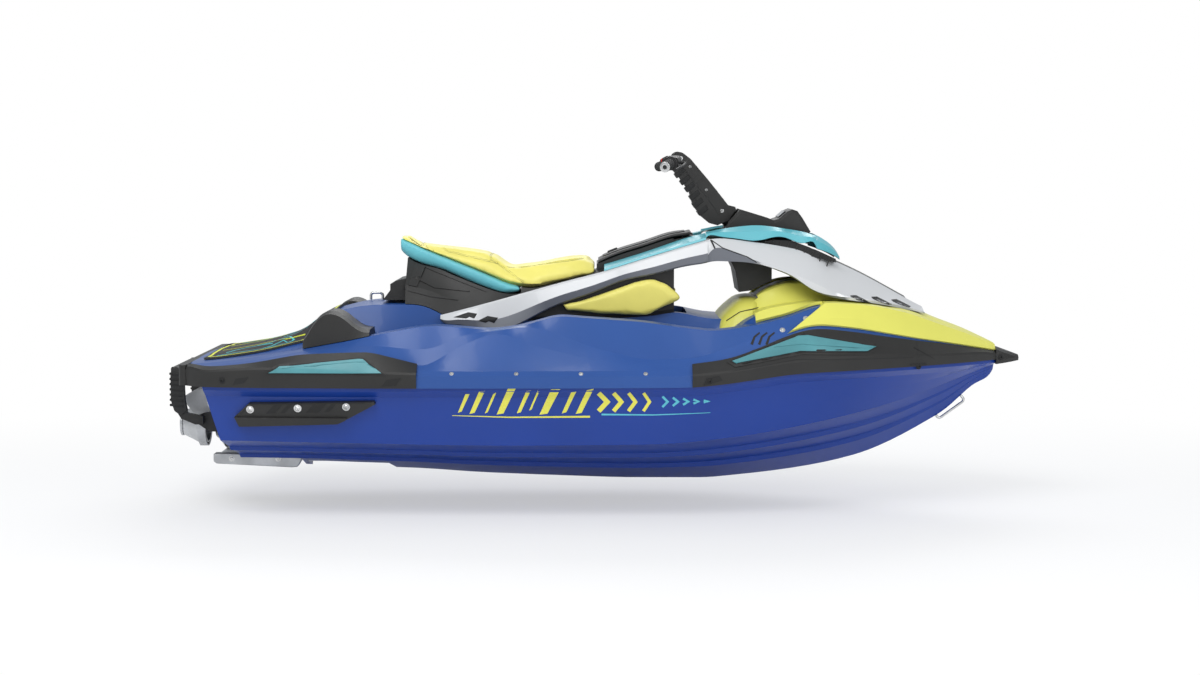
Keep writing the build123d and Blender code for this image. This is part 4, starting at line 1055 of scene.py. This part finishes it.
def make_display():
    """Rings, ticks and pointers of three dials on the display's sloping face."""
    low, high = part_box("display")
    foot, peak = Vector((low.x + 0.0035, 0, low.z + 0.004)), Vector((high.x - 0.002, 0, high.z - 0.0035))
    up = (peak - foot).normalized()
    out = Vector((-up.z, 0, up.x))
    centre = (foot + peak) / 2 + out * 0.0022
    side = Vector((0, 1, 0))

    def at(y, rise):
        return centre + side * y + up * rise

    def round_dial(y, radius, degrees):
        turn = math.radians(degrees)
        return at(y + radius * math.cos(turn), radius * math.sin(turn))

    first_deg = -40
    parts = []
    for y, radius in ((0.0, 0.0125), (0.033, 0.0085), (-0.033, 0.0085)):
        parts.append(tube([round_dial(y, radius, first_deg + 11.5 * k) for k in range(23)], 0.0007, 6))
        for k in range(9):
            tick = [round_dial(y, radius * share, first_deg + 32.5 * k) for share in (0.72, 0.9)]
            parts.append(tube(tick, 0.0005, 5))
        parts.append(tube([at(y, 0), at(y + radius * 0.5, radius * 0.5)], 0.0006, 5))
    finish_mesh("display_dials", join(parts), "dial_pale")


def make_bar_details():
    """End rings on the grips, ribs on their rubber, and switches on the pods."""
    ends, ribs, switches, red = [], [], [], []
    for side in SIDES:
        a, b = Vector((0.292, side * 0.112, 0.932)), Vector((0.244, side * 0.375, 0.905))
        along = (b - a).normalized()
        tip = b + along * 0.0048
        ring = [(0.0075, 0.0), (0.0075, 0.004), (0.0125, 0.005), (0.0178, 0.003), (0.0184, -0.004)]
        ends.append(placed(lathed(ring, 28), tip, along))
        switches.append(placed(lathed([(0, 0.0012), (0.0072, 0.0012), (0.0074, -0.001)], 20), tip, along))
        rib = [(0.0163, -0.0032), (0.0178, -0.0018), (0.0178, 0.0018), (0.0163, 0.0032)]
        for k in range(11):
            ribs.append(placed(lathed(rib, 24), a.lerp(b, 0.6 + 0.034 * k), along))
        pod = a.lerp(b, 0.34)
        back = Vector((-1, 0, 0.25)).normalized()
        for k, (shift, radius) in enumerate(((-0.016, 0.0065), (0.004, 0.0075), (0.024, 0.0055))):
            spot = pod + along * shift + back * 0.0262
            button = [(0, 0.004), (radius * 0.8, 0.0038), (radius, 0.002), (radius, -0.004)]
            (red if side == LEFT and k == 1 else switches).append(placed(lathed(button, 20), spot, back))
    finish_mesh("grip_end_rings", join(ends), "bolt_steel", "steering")
    finish_mesh("grip_ribs", join(ribs), "grip_rubber", "steering")
    finish_mesh("bar_switches", join(switches), "recess_black", "steering")
    finish_mesh("stop_switch", join(red), "kill_red", "steering")


def make_riser_details():
    """Panels, grooves darkened as painted shade, folds and bolts of the riser, which turn with the bar."""
    riser = surface("steering_riser")
    panels = [[(0.318, 0.905), (0.352, 0.918), (0.392, 0.868), (0.366, 0.842)],
              [(0.372, 0.834), (0.398, 0.86), (0.432, 0.816), (0.41, 0.792)],
              [(0.414, 0.784), (0.44, 0.806), (0.476, 0.76), (0.452, 0.732)]]
    both_drape("riser_panels", panels, riser, "black_plastic", lift=0.0022, step=0.008, body="steering")
    grooves = [stripe([(0.3, 0.87), (0.345, 0.818), (0.375, 0.77)], 0.004),
               stripe([(0.362, 0.915), (0.42, 0.85), (0.478, 0.778)], 0.004)]
    # The grooves are near-black stripes: painted shade.
    both_drape("riser_groove_shade", grooves, riser, "recess_black", lift=0.0007, step=0.008, body="steering")
    ribs = []
    for x, z, share in ((0.286, 0.876, 0.6), (0.306, 0.85, 0.6), (0.324, 0.824, 0.6), (0.34, 0.794, 0.66),
                        (0.352, 0.766, 0.66), (0.37, 0.738, 0.66)):
        reach = 0.052 * share
        ribs.append(prism([(x + 0.001, z + 0.002), (x + reach, z + 0.027), (x + reach + 0.009, z + 0.012),
                           (x + 0.012, z - 0.014)], -0.0485, 0.0485))
    rounded(finish_mesh("riser_ribs", join(ribs), "recess_black", "steering"), 0.0015)
    spots = side_spots(riser, [(0.306, 0.935), (0.345, 0.905), (0.405, 0.82), (0.462, 0.745)])
    bolts_at("riser_bolts", spots, 0.006, body="steering")


def make_stern_details():
    """Ribs on the step's tread, drain plugs, and bolts round the pump."""
    treads = [stripe([(-0.17, z), (0.17, z)], 0.006) for z in [0.135 + 0.011 * i for i in range(3)]]
    drape("step_tread_ribs", treads, surface("boarding_step"), from_stern, "grip_rubber", lift=0.0025,
          step=0.02, body="step")
    hull = surface("hull")
    plug = [(0, 0.006), (0.01, 0.006), (0.012, 0.004), (0.013, 0.002), (0.021, 0.002), (0.022, -0.001)]
    plugs = [placed(lathed(plug, 24), *hit(hull, from_stern, side * 0.22, 0.045)) for side in SIDES]
    finish_mesh("drain_plugs", join(plugs), "recess_black")
    pump = surface("pump_housing")
    spots = [hit(pump, from_stern, side * 0.112, z) for side in SIDES for z in (-0.1, 0.01, 0.055)]
    bolts_at("pump_plate_bolts", spots, 0.007)


make_camera()
make_studio()
dress_nodes()
make_saddle()
make_knee_pads()
make_hull_motif()
make_deck_vents()
make_bolts()
make_bumper_marks()
make_inserts()
make_grille()
make_step_covers()
make_mat_motif()
make_sponsons()
make_ride_plate_rails()
make_console_fairing()
make_console_details()
make_display()
make_bar_details()
make_riser_details()
make_stern_details()
